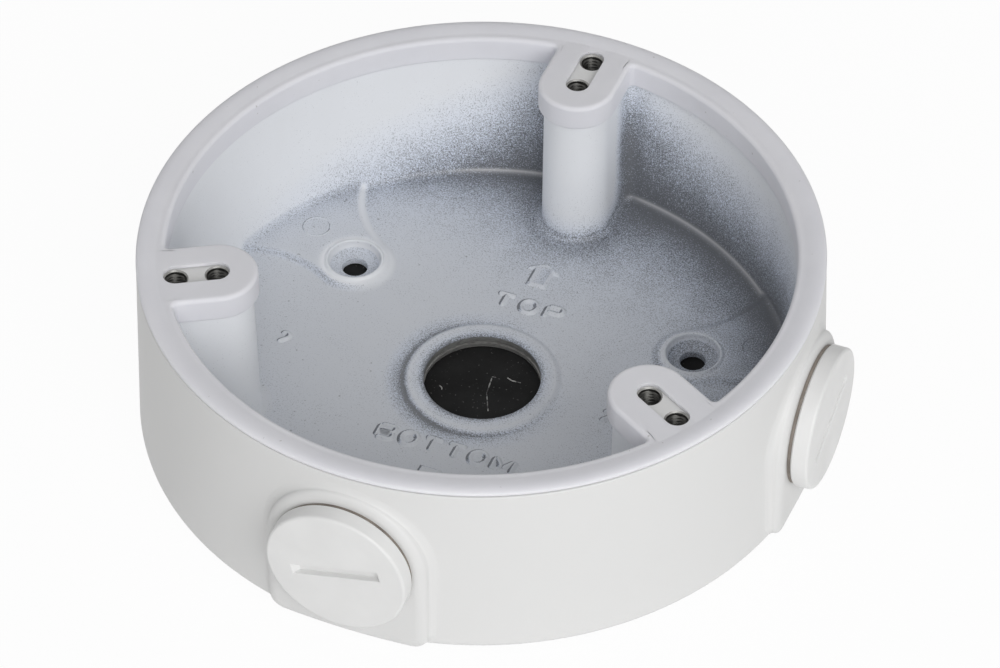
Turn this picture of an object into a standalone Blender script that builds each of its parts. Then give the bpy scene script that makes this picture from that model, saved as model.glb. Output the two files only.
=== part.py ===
"""Round junction box that carries a ceiling or wall camera.

A die-cast housing with three tapped columns, a moulded seal over its rim, a foam gasket
in its back, and two side ports closed by screwed plugs with sealing rings.
Sizes are in millimetres. +Z points out of the mouth, +Y is the side marked as the top,
and the origin is the middle of the face that lies on the wall.
"""
import math

import bmesh
import bpy
from mathutils import Matrix, Vector

MM = 0.001

# Clearances
FIT_GAP = 0.3               # between pieces that seat on each other
THREAD_GAP = 0.3            # round a plug's shank in its port
OVERCUT = 1.0               # how far a cutter runs past the face that it opens

# Rear gasket
GASKET_THICKNESS = 1.7
GASKET_PROUD = 0.5          # how far it stands out of the back before it is squeezed

# Housing wall and floor
RIM_RADIUS = 61.0           # outside, at the top edge of the wall
OUTER_DRAFT = 1.3           # how much wider the outside is at the base
WALL_THICKNESS = 4.0        # at the top edge
INNER_DRAFT = 0.6           # how much narrower the cavity is at the floor
FLOOR_THICKNESS = 2.1
BASE_LEDGE = 5.3            # width of the ring round the gasket's recess
BASE_EDGE_RADIUS = 1.2
FLOOR_FILLET = 1.5

# Columns
COLUMN_ANGLES = (90.0, 210.0, 330.0)
COLUMN_RADIUS = 6.1
COLUMN_DRAFT = 0.3
COLUMN_CORNER = 2.0         # fillet where a column joins the wall
OUTER_TAP_INSET = 6.8       # outer tapped hole, in from the rim's edge
TAP_SPACING = 7.4           # between the two tapped holes of a column
TAP_RADIUS = 1.8
TAP_MOUTH_RADIUS = 2.2
TAP_DEPTH = 12.0

# Screw pads on the floor
SCREW_ANGLES = (30.0, 150.0, 270.0)
SCREW_INSET = 22.2          # screw hole, in from the rim's edge
SCREW_PAD_RAISE = 0.9
SCREW_PAD_HALF = 6.2        # half the width of a pad at its hole
SCREW_PAD_FLARE = 22.0      # radius of the curve that widens the pad towards the wall
SCREW_PAD_SLOPE = 1.2       # width of the soft edge round a pad
SCREW_LIP_RAISE = 0.35      # rounded lip round the hole, above the pad
SCREW_LIP_RADIUS = 5.6
COUNTERSINK_RADIUS = 4.9
COUNTERSINK_DEPTH = 2.6
SCREW_HOLE_RADIUS = 2.35

# Cable hole
CABLE_HOLE_RADIUS = 10.65
CABLE_RING_WIDTH = 3.3
CABLE_RING_RAISE = 0.6

# Side ports and their flat pads
PORTS = {"bottom": 270.0, "side": 0.0}      # direction of each port's axis
PORT_HEIGHT = 18.1          # port axis above the base
PORT_BORE_RADIUS = 10.0
PORT_TOP_MARGIN = 3.0       # wall above a pad
PORT_PAD_PROUD = 0.1        # pad face beyond the base's radius
PORT_PAD_HALF = 14.9        # half the width of a pad
PORT_PAD_CORNER = 3.0       # lower corners of a pad
PORT_PAD_EDGE = 1.3         # rounding of a pad's outer edge
PORT_PAD_BLEND = 1.0        # fillet between a pad and the round wall
PORT_PAD_DEPTH = 4.0        # how far a pad reaches into the wall

# Blanking plugs and rings
HEAD_RADIUS = 12.9
HEAD_THICKNESS = 3.4
HEAD_EDGE_RADIUS = 0.5
HEAD_GAP = 0.45             # under a tight head, where the ring shows
SHANK_LENGTH = 7.5
SHANK_TIP_CHAMFER = 0.8
SHANK_HOLLOW_RADIUS = 6.0
SHANK_HOLLOW_DEPTH = 6.0
SLOT_LENGTH = 16.8          # coin slot across a head
SLOT_END_SLOPE = 1.0        # how far each end leans in
SLOT_WIDTH = 2.0
SLOT_DEPTH = 1.4
RING_SECTION = 2.0
SLOT_TILTS = {"bottom": 14.5, "side": 24.0}     # how far each slot is turned from level

# Rim seal
SEAL_THICKNESS = 1.0
SEAL_SKIRT = 0.8            # thickness of the skirt inside the wall
SEAL_SKIRT_DEPTH = 4.0
SEAL_EDGE_RADIUS = 0.8
SEAL_SLOT_RADIUS = 1.95

# Facets
ROUND_STEPS = 96
PLUG_STEPS = 48
HOLE_STEPS = 24

# Heights and radii that follow from the sizes above
base_z = GASKET_PROUD
recess_z = GASKET_THICKNESS + FIT_GAP
floor_z = recess_z + FLOOR_THICKNESS
wall_height = PORT_HEIGHT + PORT_PAD_HALF + PORT_TOP_MARGIN
wall_top_z = base_z + wall_height
seal_bottom_z = wall_top_z + FIT_GAP
seal_top_z = seal_bottom_z + SEAL_THICKNESS
port_z = base_z + PORT_HEIGHT
base_radius = RIM_RADIUS + OUTER_DRAFT
cavity_radius = RIM_RADIUS - WALL_THICKNESS
outer_tap_circle = RIM_RADIUS - OUTER_TAP_INSET
inner_tap_circle = outer_tap_circle - TAP_SPACING
screw_circle = RIM_RADIUS - SCREW_INSET
recess_radius = base_radius - BASE_LEDGE
port_face = base_radius + PORT_PAD_PROUD
ring_seat_depth = RING_SECTION + 2 * FIT_GAP - HEAD_GAP
shank_radius = PORT_BORE_RADIUS - THREAD_GAP
ring_middle_radius = shank_radius + FIT_GAP + RING_SECTION / 2
ring_seat_radius = ring_middle_radius + RING_SECTION / 2 + FIT_GAP


def clear_scene():
    for old in list(bpy.data.objects):
        bpy.data.objects.remove(old, do_unlink=True)


def arc(centre, radius, start, end, steps):
    """Points on an arc, from one angle to another in degrees, with both ends."""
    points = []
    for i in range(steps + 1):
        a = math.radians(start + (end - start) * i / steps)
        points.append((centre[0] + radius * math.cos(a), centre[1] + radius * math.sin(a)))
    return points


def turned(points, degrees):
    """Plan points turned about the axis."""
    a = math.radians(degrees)
    return [(x * math.cos(a) - y * math.sin(a), x * math.sin(a) + y * math.cos(a)) for x, y in points]


def at_height(points, z):
    return [(x, y, z) for x, y in points]


def make_object(name, bm, material=None, smooth=True):
    """The bmesh as an object with outward faces, smooth over its round sides or flat throughout."""
    bmesh.ops.recalc_face_normals(bm, faces=bm.faces)
    mesh = bpy.data.meshes.new(name)
    bm.to_mesh(mesh)
    bm.free()
    if smooth:
        mesh.shade_smooth()
        mesh.set_sharp_from_angle(angle=math.radians(35))
    obj = bpy.data.objects.new(name, mesh)
    bpy.context.scene.collection.objects.link(obj)
    if material:
        mesh.materials.append(material)
    return obj


def add_loft(bm, loops):
    """A closed solid through matching loops, with a flat cap at each end."""
    rings = [[bm.verts.new(Vector(p) * MM) for p in loop] for loop in loops]
    for low, high in zip(rings, rings[1:]):
        for i, corner in enumerate(low):
            j = (i + 1) % len(low)
            bm.faces.new((corner, low[j], high[j], high[i]))
    bm.faces.new(list(reversed(rings[0])))
    bm.faces.new(rings[-1])


def add_revolve(bm, profile, steps, place=Matrix(), closed=False):
    """A profile of (radius, height) points turned about its own Z axis, then placed."""
    verts = [bm.verts.new((r * MM, 0.0, z * MM)) for r, z in profile]
    edges = [bm.edges.new(pair) for pair in zip(verts, verts[1:])]
    if closed:
        edges.append(bm.edges.new((verts[-1], verts[0])))
    before = set(bm.verts) - set(verts)
    bmesh.ops.spin(bm, geom=verts + edges, axis=(0, 0, 1), cent=(0, 0, 0), steps=steps, angle=math.tau)
    made = [v for v in bm.verts if v not in before]
    bmesh.ops.remove_doubles(bm, verts=made, dist=1e-6)
    made = [v for v in bm.verts if v not in before]
    bmesh.ops.transform(bm, matrix=place, verts=made)


def loft(name, loops, material=None, smooth=True):
    bm = bmesh.new()
    add_loft(bm, loops)
    return make_object(name, bm, material, smooth)


def revolve(name, profile, steps, material=None, closed=False, smooth=True):
    bm = bmesh.new()
    add_revolve(bm, profile, steps, closed=closed)
    return make_object(name, bm, material, smooth)


def boolean(target, tool, operation):
    """Joins a tool to the target or cuts it away; the tool itself is only a guide."""
    modifier = target.modifiers.new(tool.name, "BOOLEAN")
    modifier.operation = operation
    modifier.solver = "EXACT"
    modifier.object = tool
    tool.hide_render = True
    tool.display_type = "WIRE"


def make_material(name, colour, roughness, metallic=0.0):
    material = bpy.data.materials.new(name)
    material.use_nodes = True
    shader = material.node_tree.nodes["Principled BSDF"]
    shader.inputs["Base Color"].default_value = (*colour, 1.0)
    shader.inputs["Roughness"].default_value = roughness
    shader.inputs["Metallic"].default_value = metallic
    return material


def polar(radius, degrees):
    a = math.radians(degrees)
    return radius * math.cos(a), radius * math.sin(a)


def cavity_outline(wall, column, corner):
    """Edge of the cavity in plan: a circle that is pushed in round each column."""
    reach = math.sqrt((wall - corner) ** 2 - (column + corner) ** 2)
    lean = math.degrees(math.atan2(column + corner, reach))
    sector = 360.0 / len(COLUMN_ANGLES)
    points = []
    for angle in COLUMN_ANGLES:
        side = arc((reach, -column - corner), corner, -lean, 90.0, 3)
        side += arc((inner_tap_circle, 0.0), column, -90.0, -270.0, 12)
        side += arc((reach, column + corner), corner, -90.0, lean, 3)
        side += arc((0.0, 0.0), wall, lean, sector - lean, 20)[1:-1]
        points += turned(side, angle)
    return points


def inset_outline(depth, drop=0.0):
    """Cavity outline moved into the cavity by depth, at drop of the way down to the floor."""
    wall = cavity_radius - INNER_DRAFT * drop - depth
    column = COLUMN_RADIUS + COLUMN_DRAFT * drop + depth
    return cavity_outline(wall, column, COLUMN_CORNER - depth)


def quarter(steps):
    """Cosine and sine at even steps of a quarter turn."""
    return [(math.cos(math.radians(90.0 * i / steps)), math.sin(math.radians(90.0 * i / steps)))
            for i in range(steps + 1)]


def cavity_cutter():
    """The whole cavity, with a fillet all round its floor."""
    loops = [at_height(inset_outline(FLOOR_FILLET * (1 - s), 1.0), floor_z + FLOOR_FILLET * (1 - c))
             for c, s in quarter(3)]
    loops.append(at_height(inset_outline(0.0), wall_top_z + OVERCUT))
    return loft("cavity_cutter", loops)


def wall_blank():
    """Outside of the housing, solid, with the casting's draft and a rounded base edge."""
    edge = BASE_EDGE_RADIUS
    profile = [(0.0, base_z)]
    for c, s in quarter(4):
        profile.append((base_radius - edge * (1 - s), base_z + edge * (1 - c)))
    profile.append((RIM_RADIUS, wall_top_z))
    profile.append((0.0, wall_top_z))
    return profile


def port_frame(degrees):
    """Matrix whose +Z points out of a port, with +Y up, centred on the port's axis at the box's axis."""
    out = Vector((math.cos(math.radians(degrees)), math.sin(math.radians(degrees)), 0.0))
    up = Vector((0.0, 0.0, 1.0))
    across = up.cross(out)
    frame = Matrix((across, up, out)).transposed().to_4x4()
    frame.translation = up * port_z * MM
    return frame


def port_pad_outline(grow):
    """Arched top round the port, straight sides and rounded lower corners.

    It is grown all round, but never below the base.
    """
    half = PORT_PAD_HALF + grow
    corner = PORT_PAD_CORNER
    foot = -PORT_HEIGHT - min(grow, 0.0)
    points = arc((0.0, 0.0), half, 0.0, 180.0, 24)
    points += arc((corner - half, foot + corner), corner, 180.0, 270.0, 4)
    points += arc((half - corner, foot + corner), corner, 270.0, 360.0, 4)
    return points


def port_pad(name, degrees):
    """Pad that gives a port its flat face, blended into the round wall."""
    levels = [(port_face, -PORT_PAD_EDGE)]
    for c, s in quarter(3)[1:]:
        levels.append((port_face - PORT_PAD_EDGE * (1 - c), PORT_PAD_EDGE * (s - 1)))
    blend_start = port_face - PORT_PAD_DEPTH + 2 * PORT_PAD_BLEND
    for c, s in quarter(4):
        levels.append((blend_start - PORT_PAD_BLEND * s, PORT_PAD_BLEND * (1 - c)))
    levels.append((port_face - PORT_PAD_DEPTH, PORT_PAD_BLEND))
    frame = port_frame(degrees)
    loops = []
    for reach, grow in levels:
        loop = []
        for x, y in port_pad_outline(grow):
            loop.append(tuple(frame @ Vector((x * MM, y * MM, reach * MM)) / MM))
        loops.append(loop)
    return loft(name, loops)


def screw_pad_outline(grow):
    """Pad round a screw hole, widening to the wall, pointing along +X and grown all round."""
    half = SCREW_PAD_HALF + grow
    flare = SCREW_PAD_FLARE - grow
    rim = cavity_radius + WALL_THICKNESS / 4
    centre_y = half + flare
    to_axis = math.degrees(math.atan2(-centre_y, -screw_circle))
    distance = math.hypot(screw_circle, centre_y)
    opening = math.degrees(math.acos((flare ** 2 + distance ** 2 - rim ** 2) / (2 * flare * distance)))
    end = to_axis + opening
    upper = arc((screw_circle, centre_y), flare, -90.0, end, 8)
    lower = [(x, -y) for x, y in reversed(upper)]
    tip_angle = math.degrees(math.atan2(upper[-1][1], upper[-1][0]))
    rim_arc = arc((0.0, 0.0), rim, tip_angle, -tip_angle, 8)[1:-1]
    nose = arc((screw_circle, 0.0), half, 270.0, 90.0, 12)[1:-1]
    return upper + rim_arc + lower + nose


def screw_pads():
    """The three raised pads, with a soft edge down to the floor."""
    bm = bmesh.new()
    slope = SCREW_PAD_SLOPE
    levels = [(floor_z - FLOOR_THICKNESS / 2, slope), (floor_z, slope)]
    for share in (0.25, 0.5, 0.75, 1.0):
        rise = (1 - math.cos(math.pi * share)) / 2
        levels.append((floor_z + SCREW_PAD_RAISE * rise, slope * (1 - share)))
    for angle in SCREW_ANGLES:
        add_loft(bm, [at_height(turned(screw_pad_outline(grow), angle), z) for z, grow in levels])
    return make_object("screw_pads", bm)


def screw_lips():
    """Rounded lip round each screw hole."""
    bm = bmesh.new()
    pad_z = floor_z + SCREW_PAD_RAISE
    profile = [(0.0, floor_z - FLOOR_THICKNESS / 2), (SCREW_LIP_RADIUS, floor_z - FLOOR_THICKNESS / 2),
               (SCREW_LIP_RADIUS, pad_z)]
    for c, s in quarter(3)[1:]:
        profile.append((COUNTERSINK_RADIUS + (SCREW_LIP_RADIUS - COUNTERSINK_RADIUS) * c,
                        pad_z + SCREW_LIP_RAISE * s))
    profile.append((0.0, pad_z + SCREW_LIP_RAISE))
    for angle in SCREW_ANGLES:
        x, y = polar(screw_circle * MM, angle)
        add_revolve(bm, profile, HOLE_STEPS, Matrix.Translation((x, y, 0.0)))
    return make_object("screw_lips", bm)


def screw_hole_cutter():
    bm = bmesh.new()
    mouth_z = floor_z + SCREW_PAD_RAISE + SCREW_LIP_RAISE
    profile = [(0.0, base_z - OVERCUT), (SCREW_HOLE_RADIUS, base_z - OVERCUT),
               (SCREW_HOLE_RADIUS, mouth_z - COUNTERSINK_DEPTH), (COUNTERSINK_RADIUS, mouth_z),
               (COUNTERSINK_RADIUS, mouth_z + OVERCUT), (0.0, mouth_z + OVERCUT)]
    for angle in SCREW_ANGLES:
        x, y = polar(screw_circle * MM, angle)
        add_revolve(bm, profile, HOLE_STEPS, Matrix.Translation((x, y, 0.0)))
    return make_object("screw_hole_cutter", bm, smooth=False)


def cable_ring():
    """Raised ring round the cable hole, rounded outside and flat on top."""
    outer = CABLE_HOLE_RADIUS + CABLE_RING_WIDTH
    top = floor_z + CABLE_RING_RAISE
    profile = [(0.0, floor_z - FLOOR_THICKNESS / 2), (outer, floor_z - FLOOR_THICKNESS / 2)]
    for c, s in quarter(3):
        profile.append((outer - CABLE_RING_RAISE * (1 - c), floor_z + CABLE_RING_RAISE * s))
    profile.append((0.0, top))
    return revolve("cable_ring", profile, PLUG_STEPS)


def cable_hole_cutter():
    top = floor_z + CABLE_RING_RAISE
    edge = CABLE_RING_RAISE / 2
    profile = [(0.0, base_z - OVERCUT), (CABLE_HOLE_RADIUS, base_z - OVERCUT), (CABLE_HOLE_RADIUS, top - edge),
               (CABLE_HOLE_RADIUS + edge, top), (CABLE_HOLE_RADIUS + edge, top + OVERCUT), (0.0, top + OVERCUT)]
    return revolve("cable_hole_cutter", profile, PLUG_STEPS, smooth=False)


def tapped_hole_cutter():
    """Blind holes down the columns, two in each, with a small chamfer at the mouth."""
    bm = bmesh.new()
    chamfer = TAP_MOUTH_RADIUS - TAP_RADIUS
    profile = [(0.0, wall_top_z - TAP_DEPTH), (TAP_RADIUS, wall_top_z - TAP_DEPTH + TAP_RADIUS / 2),
               (TAP_RADIUS, wall_top_z - chamfer), (TAP_MOUTH_RADIUS, wall_top_z),
               (TAP_MOUTH_RADIUS, wall_top_z + OVERCUT), (0.0, wall_top_z + OVERCUT)]
    for angle in COLUMN_ANGLES:
        for circle in (inner_tap_circle, outer_tap_circle):
            x, y = polar(circle * MM, angle)
            add_revolve(bm, profile, HOLE_STEPS // 2, Matrix.Translation((x, y, 0.0)))
    return make_object("tapped_hole_cutter", bm, smooth=False)


def recess_cutter():
    profile = [(0.0, base_z - OVERCUT), (recess_radius, base_z - OVERCUT), (recess_radius, recess_z), (0.0, recess_z)]
    return revolve("recess_cutter", profile, ROUND_STEPS, smooth=False)


def port_cutter():
    """Threaded bores, each with a seat for the sealing ring."""
    bm = bmesh.new()
    inside = cavity_radius - INNER_DRAFT - COLUMN_RADIUS
    profile = [(0.0, inside), (PORT_BORE_RADIUS, inside), (PORT_BORE_RADIUS, port_face - ring_seat_depth),
               (ring_seat_radius, port_face - ring_seat_depth), (ring_seat_radius, port_face + OVERCUT),
               (0.0, port_face + OVERCUT)]
    for degrees in PORTS.values():
        add_revolve(bm, profile, PLUG_STEPS, port_frame(degrees))
    return make_object("port_cutter", bm, smooth=False)


def make_housing(material):
    housing = revolve("housing", wall_blank(), ROUND_STEPS, material)
    for name, degrees in PORTS.items():
        boolean(housing, port_pad(name + "_port_pad", degrees), "UNION")
    boolean(housing, cavity_cutter(), "DIFFERENCE")
    boolean(housing, screw_pads(), "UNION")
    boolean(housing, screw_lips(), "UNION")
    boolean(housing, cable_ring(), "UNION")
    boolean(housing, recess_cutter(), "DIFFERENCE")
    boolean(housing, screw_hole_cutter(), "DIFFERENCE")
    boolean(housing, cable_hole_cutter(), "DIFFERENCE")
    boolean(housing, tapped_hole_cutter(), "DIFFERENCE")
    boolean(housing, port_cutter(), "DIFFERENCE")
    return housing


def make_rear_gasket(material):
    """Foam disc in the back, pierced only when the box is fitted."""
    radius = recess_radius - FIT_GAP
    profile = [(0.0, 0.0), (radius, 0.0), (radius, GASKET_THICKNESS), (0.0, GASKET_THICKNESS)]
    return revolve("rear_gasket", profile, ROUND_STEPS, material)


def make_top_seal(material):
    """Flat ring on the rim with an ear on each column and a skirt down the inside."""
    edge = SEAL_EDGE_RADIUS
    profile = [(0.0, seal_bottom_z), (RIM_RADIUS, seal_bottom_z)]
    for c, s in quarter(3):
        profile.append((RIM_RADIUS - edge * (1 - c), seal_top_z - edge * (1 - s)))
    profile.append((0.0, seal_top_z))
    seal = revolve("top_seal", profile, ROUND_STEPS, material)

    skirt_low = wall_top_z - SEAL_SKIRT_DEPTH
    outside = inset_outline(FIT_GAP, 0.0)
    skirt_low_drop = SEAL_SKIRT_DEPTH / (wall_top_z - floor_z)
    low_outside = inset_outline(FIT_GAP, skirt_low_drop)
    skirt = loft("seal_skirt", [at_height(low_outside, skirt_low),
                                at_height(outside, seal_bottom_z + SEAL_THICKNESS / 2)])
    boolean(seal, skirt, "UNION")

    full = FIT_GAP + SEAL_SKIRT
    loops = [at_height(inset_outline(full, 0.0), skirt_low - OVERCUT)]
    for c, s in quarter(3):
        loops.append(at_height(inset_outline(full - edge * (1 - c), 0.0), seal_top_z - edge * (1 - s)))
    loops.append(at_height(inset_outline(full - edge, 0.0), seal_top_z + OVERCUT))
    boolean(seal, loft("seal_opening", loops), "DIFFERENCE")

    bm = bmesh.new()
    for angle in COLUMN_ANGLES:
        slot = arc((outer_tap_circle, 0.0), SEAL_SLOT_RADIUS, -90.0, 90.0, 8)
        slot += arc((inner_tap_circle, 0.0), SEAL_SLOT_RADIUS, 90.0, 270.0, 8)
        plan = turned(slot, angle)
        add_loft(bm, [at_height(plan, seal_bottom_z - OVERCUT), at_height(plan, seal_top_z + OVERCUT)])
    boolean(seal, make_object("seal_slots", bm, smooth=False), "DIFFERENCE")
    return seal


def plug_profile():
    """Plug from the tip of its hollow shank to its face, with zero under the head."""
    edge = HEAD_EDGE_RADIUS
    profile = [(0.0, SHANK_HOLLOW_DEPTH - SHANK_LENGTH), (SHANK_HOLLOW_RADIUS, SHANK_HOLLOW_DEPTH - SHANK_LENGTH),
               (SHANK_HOLLOW_RADIUS, -SHANK_LENGTH), (shank_radius - SHANK_TIP_CHAMFER, -SHANK_LENGTH),
               (shank_radius, SHANK_TIP_CHAMFER - SHANK_LENGTH), (shank_radius, 0.0),
               (HEAD_RADIUS - edge / 2, 0.0), (HEAD_RADIUS, edge / 2)]
    for c, s in quarter(3):
        profile.append((HEAD_RADIUS - edge * (1 - c), HEAD_THICKNESS - edge * (1 - s)))
    profile.append((0.0, HEAD_THICKNESS))
    return profile


def slot_cutter(name, tilt):
    """Coin slot with sloping ends, turned by tilt from level."""
    loops = []
    for half, z in ((SLOT_LENGTH / 2 - SLOT_END_SLOPE, HEAD_THICKNESS - SLOT_DEPTH),
                    (SLOT_LENGTH / 2, HEAD_THICKNESS), (SLOT_LENGTH / 2, HEAD_THICKNESS + OVERCUT)):
        side = SLOT_WIDTH / 2
        corners = [(-half, -side), (half, -side), (half, side), (-half, side)]
        loops.append(at_height(turned(corners, tilt), z))
    return loft(name, loops, smooth=False)


def make_plug(name, degrees, tilt, plug_material, ring_material):
    """A screwed plug and its ring, each with its origin on the port's axis."""
    frame = port_frame(degrees)
    under_head = port_face + HEAD_GAP
    seat = frame @ Matrix.Translation((0.0, 0.0, under_head * MM))

    plug = revolve(name + "_plug", plug_profile(), PLUG_STEPS, plug_material)
    slot = slot_cutter(name + "_plug_slot", tilt)
    slot.parent = plug
    boolean(plug, slot, "DIFFERENCE")
    plug.matrix_world = seat

    section = arc((ring_middle_radius, -FIT_GAP - RING_SECTION / 2), RING_SECTION / 2, 0.0, 360.0, 10)[:-1]
    ring = revolve(name + "_plug_ring", section, PLUG_STEPS, ring_material, closed=True)
    ring.matrix_world = seat


def main():
    clear_scene()
    powder_coat = make_material("powder_coat", (0.83, 0.82, 0.79), 0.55)
    silicone = make_material("silicone", (0.78, 0.78, 0.82), 0.5)
    foam = make_material("foam_rubber", (0.02, 0.02, 0.022), 0.75)
    plug_paint = make_material("plug_paint", (0.84, 0.84, 0.83), 0.45)
    ring_rubber = make_material("ring_rubber", (0.22, 0.19, 0.165), 0.6)
    make_housing(powder_coat)
    make_rear_gasket(foam)
    make_top_seal(silicone)
    for name, degrees in PORTS.items():
        make_plug(name, degrees, SLOT_TILTS[name], plug_paint, ring_rubber)


main()
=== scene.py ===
"""Looks of the camera junction box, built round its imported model.

Sizes are in millimetres until a mesh is made. +Z points out of the mouth and +Y is the side
marked as the top, as in the frame.
"""
import math

import bmesh
import bpy
from mathutils import Matrix, Vector


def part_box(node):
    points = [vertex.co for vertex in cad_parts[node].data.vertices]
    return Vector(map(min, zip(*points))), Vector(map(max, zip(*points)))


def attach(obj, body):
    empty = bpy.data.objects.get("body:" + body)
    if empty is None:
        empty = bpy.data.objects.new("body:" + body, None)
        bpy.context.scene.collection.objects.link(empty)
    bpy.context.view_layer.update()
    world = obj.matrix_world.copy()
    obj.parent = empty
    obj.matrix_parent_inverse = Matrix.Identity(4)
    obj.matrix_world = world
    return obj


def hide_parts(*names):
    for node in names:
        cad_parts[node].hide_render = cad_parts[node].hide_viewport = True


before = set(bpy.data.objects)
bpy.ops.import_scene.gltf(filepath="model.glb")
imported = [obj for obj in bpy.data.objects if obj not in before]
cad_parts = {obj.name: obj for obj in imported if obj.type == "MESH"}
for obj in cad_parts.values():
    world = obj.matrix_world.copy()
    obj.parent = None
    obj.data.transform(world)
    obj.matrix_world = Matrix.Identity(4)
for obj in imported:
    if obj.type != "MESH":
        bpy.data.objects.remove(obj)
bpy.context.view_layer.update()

MM = 0.001


def node_box(node):
    """Lowest and highest corner of a CAD node, in millimetres."""
    low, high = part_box(node)
    return low / MM, high / MM


# Sizes that come from the frame
housing_low, housing_high = node_box("housing")
seal_low, seal_high = node_box("top_seal")
gasket_high = node_box("rear_gasket")[1]
plug_low, plug_high = node_box("side_plug")
ring_low, ring_high = node_box("side_plug_ring")
base_z = housing_low.z
wall_top_z = housing_high.z
port_face = housing_high.x
rim_radius = seal_high.x
seal_top_z = seal_high.z
skirt_low_z = seal_low.z
gasket_radius = gasket_high.x
port_z = (plug_low.z + plug_high.z) / 2
head_radius = (plug_high.z - plug_low.z) / 2
head_face = plug_high.x
shank_tip = plug_low.x
ring_radius = (ring_high.z - ring_low.z) / 2
ring_section = ring_high.x - ring_low.x
ring_middle = (ring_high.x + ring_low.x) / 2

# Housing, as in the CAD
FIT_GAP = 0.3
OUTER_DRAFT = 1.3
WALL_THICKNESS = 4.0
INNER_DRAFT = 0.6
FLOOR_THICKNESS = 2.1
RIM_EDGE_RADIUS = 0.35
BASE_EDGE_RADIUS = 1.2
COLUMN_ANGLES = (90.0, 210.0, 330.0)
COLUMN_RADIUS = 6.1
COLUMN_DRAFT = 0.3
COLUMN_CORNER = 2.0
OUTER_TAP_INSET = 6.8
TAP_SPACING = 7.4
TAP_DEPTH = 10.0
TAP_PITCH = 0.7
TAP_CREST_RADIUS = 1.62
TAP_ROOT_RADIUS = 2.0
TAP_CHAMFER = 0.25
WALL_FOOT_FILLET = 1.5
COLUMN_FOOT_FILLET = 2.4
# Height and half width of the pale line along the wall's foot: paint built up there and a painted highlight
FOOT_RIDGE_HEIGHT = 0.56
FOOT_RIDGE_HALF = 0.22

# Steps of the cavity's outline: a column's half nose, side and corner, the wall where a screw pad
# meets it (degrees from a column) and the wall beside that
NOSE_STEPS = 20
SIDE_STEPS = 8
CORNER_STEPS = 8
COLUMN_STEPS = NOSE_STEPS + SIDE_STEPS + CORNER_STEPS
PAD_WALL_START = 40.0
PAD_WALL_END = 80.0
PAD_WALL_STEPS = 110
PLAIN_WALL_STEPS = 30

# Steps round the turned shapes
TAP_STEPS = 32
PORT_STEPS = 96
PLUG_STEPS = 128

# Screw pads
SCREW_ANGLES = (30.0, 150.0, 270.0)
SCREW_INSET = 22.2
SCREW_PAD_RAISE = 0.9
SCREW_PAD_HALF = 5.7
SCREW_PAD_FLARE = 22.0
SCREW_PAD_SLOPE = 2.2
SCREW_LIP_RAISE = 0.5
SCREW_LIP_RADIUS = 5.4
SCREW_LIP_EDGE = 0.35
COUNTERSINK_RADIUS = 4.9
COUNTERSINK_DEPTH = 2.2
SCREW_HOLE_RADIUS = 2.35

# Cable hole
CABLE_HOLE_RADIUS = 10.65
CABLE_RING_WIDTH = 3.3
CABLE_RING_RAISE = 0.6
CABLE_RING_SLOPE = 1.4
CABLE_GROOVE_DEPTH = 0.35

# Ports, plugs and rings
PORTS = {"bottom": 270.0, "side": 0.0}
SLOT_TILTS = {"bottom": 14.5, "side": 24.0}
PORT_BORE_RADIUS = 10.0
PORT_THREAD_DEPTH = 0.45
PORT_PITCH = 1.5
PORT_PAD_HALF = 14.9
PORT_PAD_CORNER = 3.0
PORT_PAD_EDGE = 2.1
PORT_PAD_BLEND = 2.0
PORT_PAD_EDGE_SHARE = 0.6
HEAD_THICKNESSES = {"bottom": 3.3, "side": 3.2}
HEAD_EDGE_RADIUS = 0.6
RING_LIP_RADIUS = 12.6
SHANK_RADIUS = 9.65
SHANK_ROOT_RADIUS = 9.05
SHANK_TIP_CHAMFER = 0.8
SHANK_HOLLOW_RADIUS = 6.0
SHANK_HOLLOW_DEPTH = 6.0
SLOT_LENGTH = 16.8
SLOT_END_SLOPE = 1.0
SLOT_WIDTH = 2.0
SLOT_DEPTH = 1.2
SLOT_EDGE = 0.12

# Rim seal
SEAL_THICKNESS = 1.0
SEAL_SKIRT = 0.8
SEAL_EDGE_RADIUS = 0.8
SEAL_SHOULDER_WIDTH = 1.4
SEAL_SHOULDER_DROP = 0.55
SEAL_GAP_HEIGHT = 0.14
SEAL_GAP_DEPTH = 0.9
SEAL_DISH = 0.35
SEAL_SLOT_RADIUS = 2.2
SEAL_SLOT_EDGE = 0.35

# Lint on the foam
LINT_WIDTH = 0.2
LINT_THREADS = (
    ((0.5, 3.4), (1.3, 3.5)),
    ((3.2, 4.2), (4.3, 3.8), (6.0, 3.9)),
    ((0.6, 3.2), (1.2, -0.9), (3.2, -5.1)),
    ((-7.6, -2.2), (-6.9, -2.6), (-6.7, -3.1)),
)

# Raised marks on the floor
LETTER_HEIGHT = 3.9
LETTER_WIDTH = 3.7
STROKE_WIDTH = 1.4
MARK_RAISE = 0.5
TOP_WORD_PITCH = 4.9
TOP_WORD_START = (-6.0, 18.6)
BOTTOM_WORD_PITCH = 4.45
BOTTOM_WORD_START = (-12.9, -21.0)
ARROW_HEAD_WIDTH = 6.6
ARROW_SHAFT_WIDTH = 4.2
ARROW_HEAD_LENGTH = 2.7
ARROW_LENGTH = 6.8
TOP_ARROW_APEX = 32.8
BOTTOM_ARROW_APEX = 31.0
EJECTOR_PLACES = ((-43.9, 25.3), (43.9, 25.3))
EJECTOR_RADIUS = 2.65
EJECTOR_RAISE = 0.08
TICK_PLACES = ((-38.0, -3.7), (24.2, -0.7))

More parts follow.
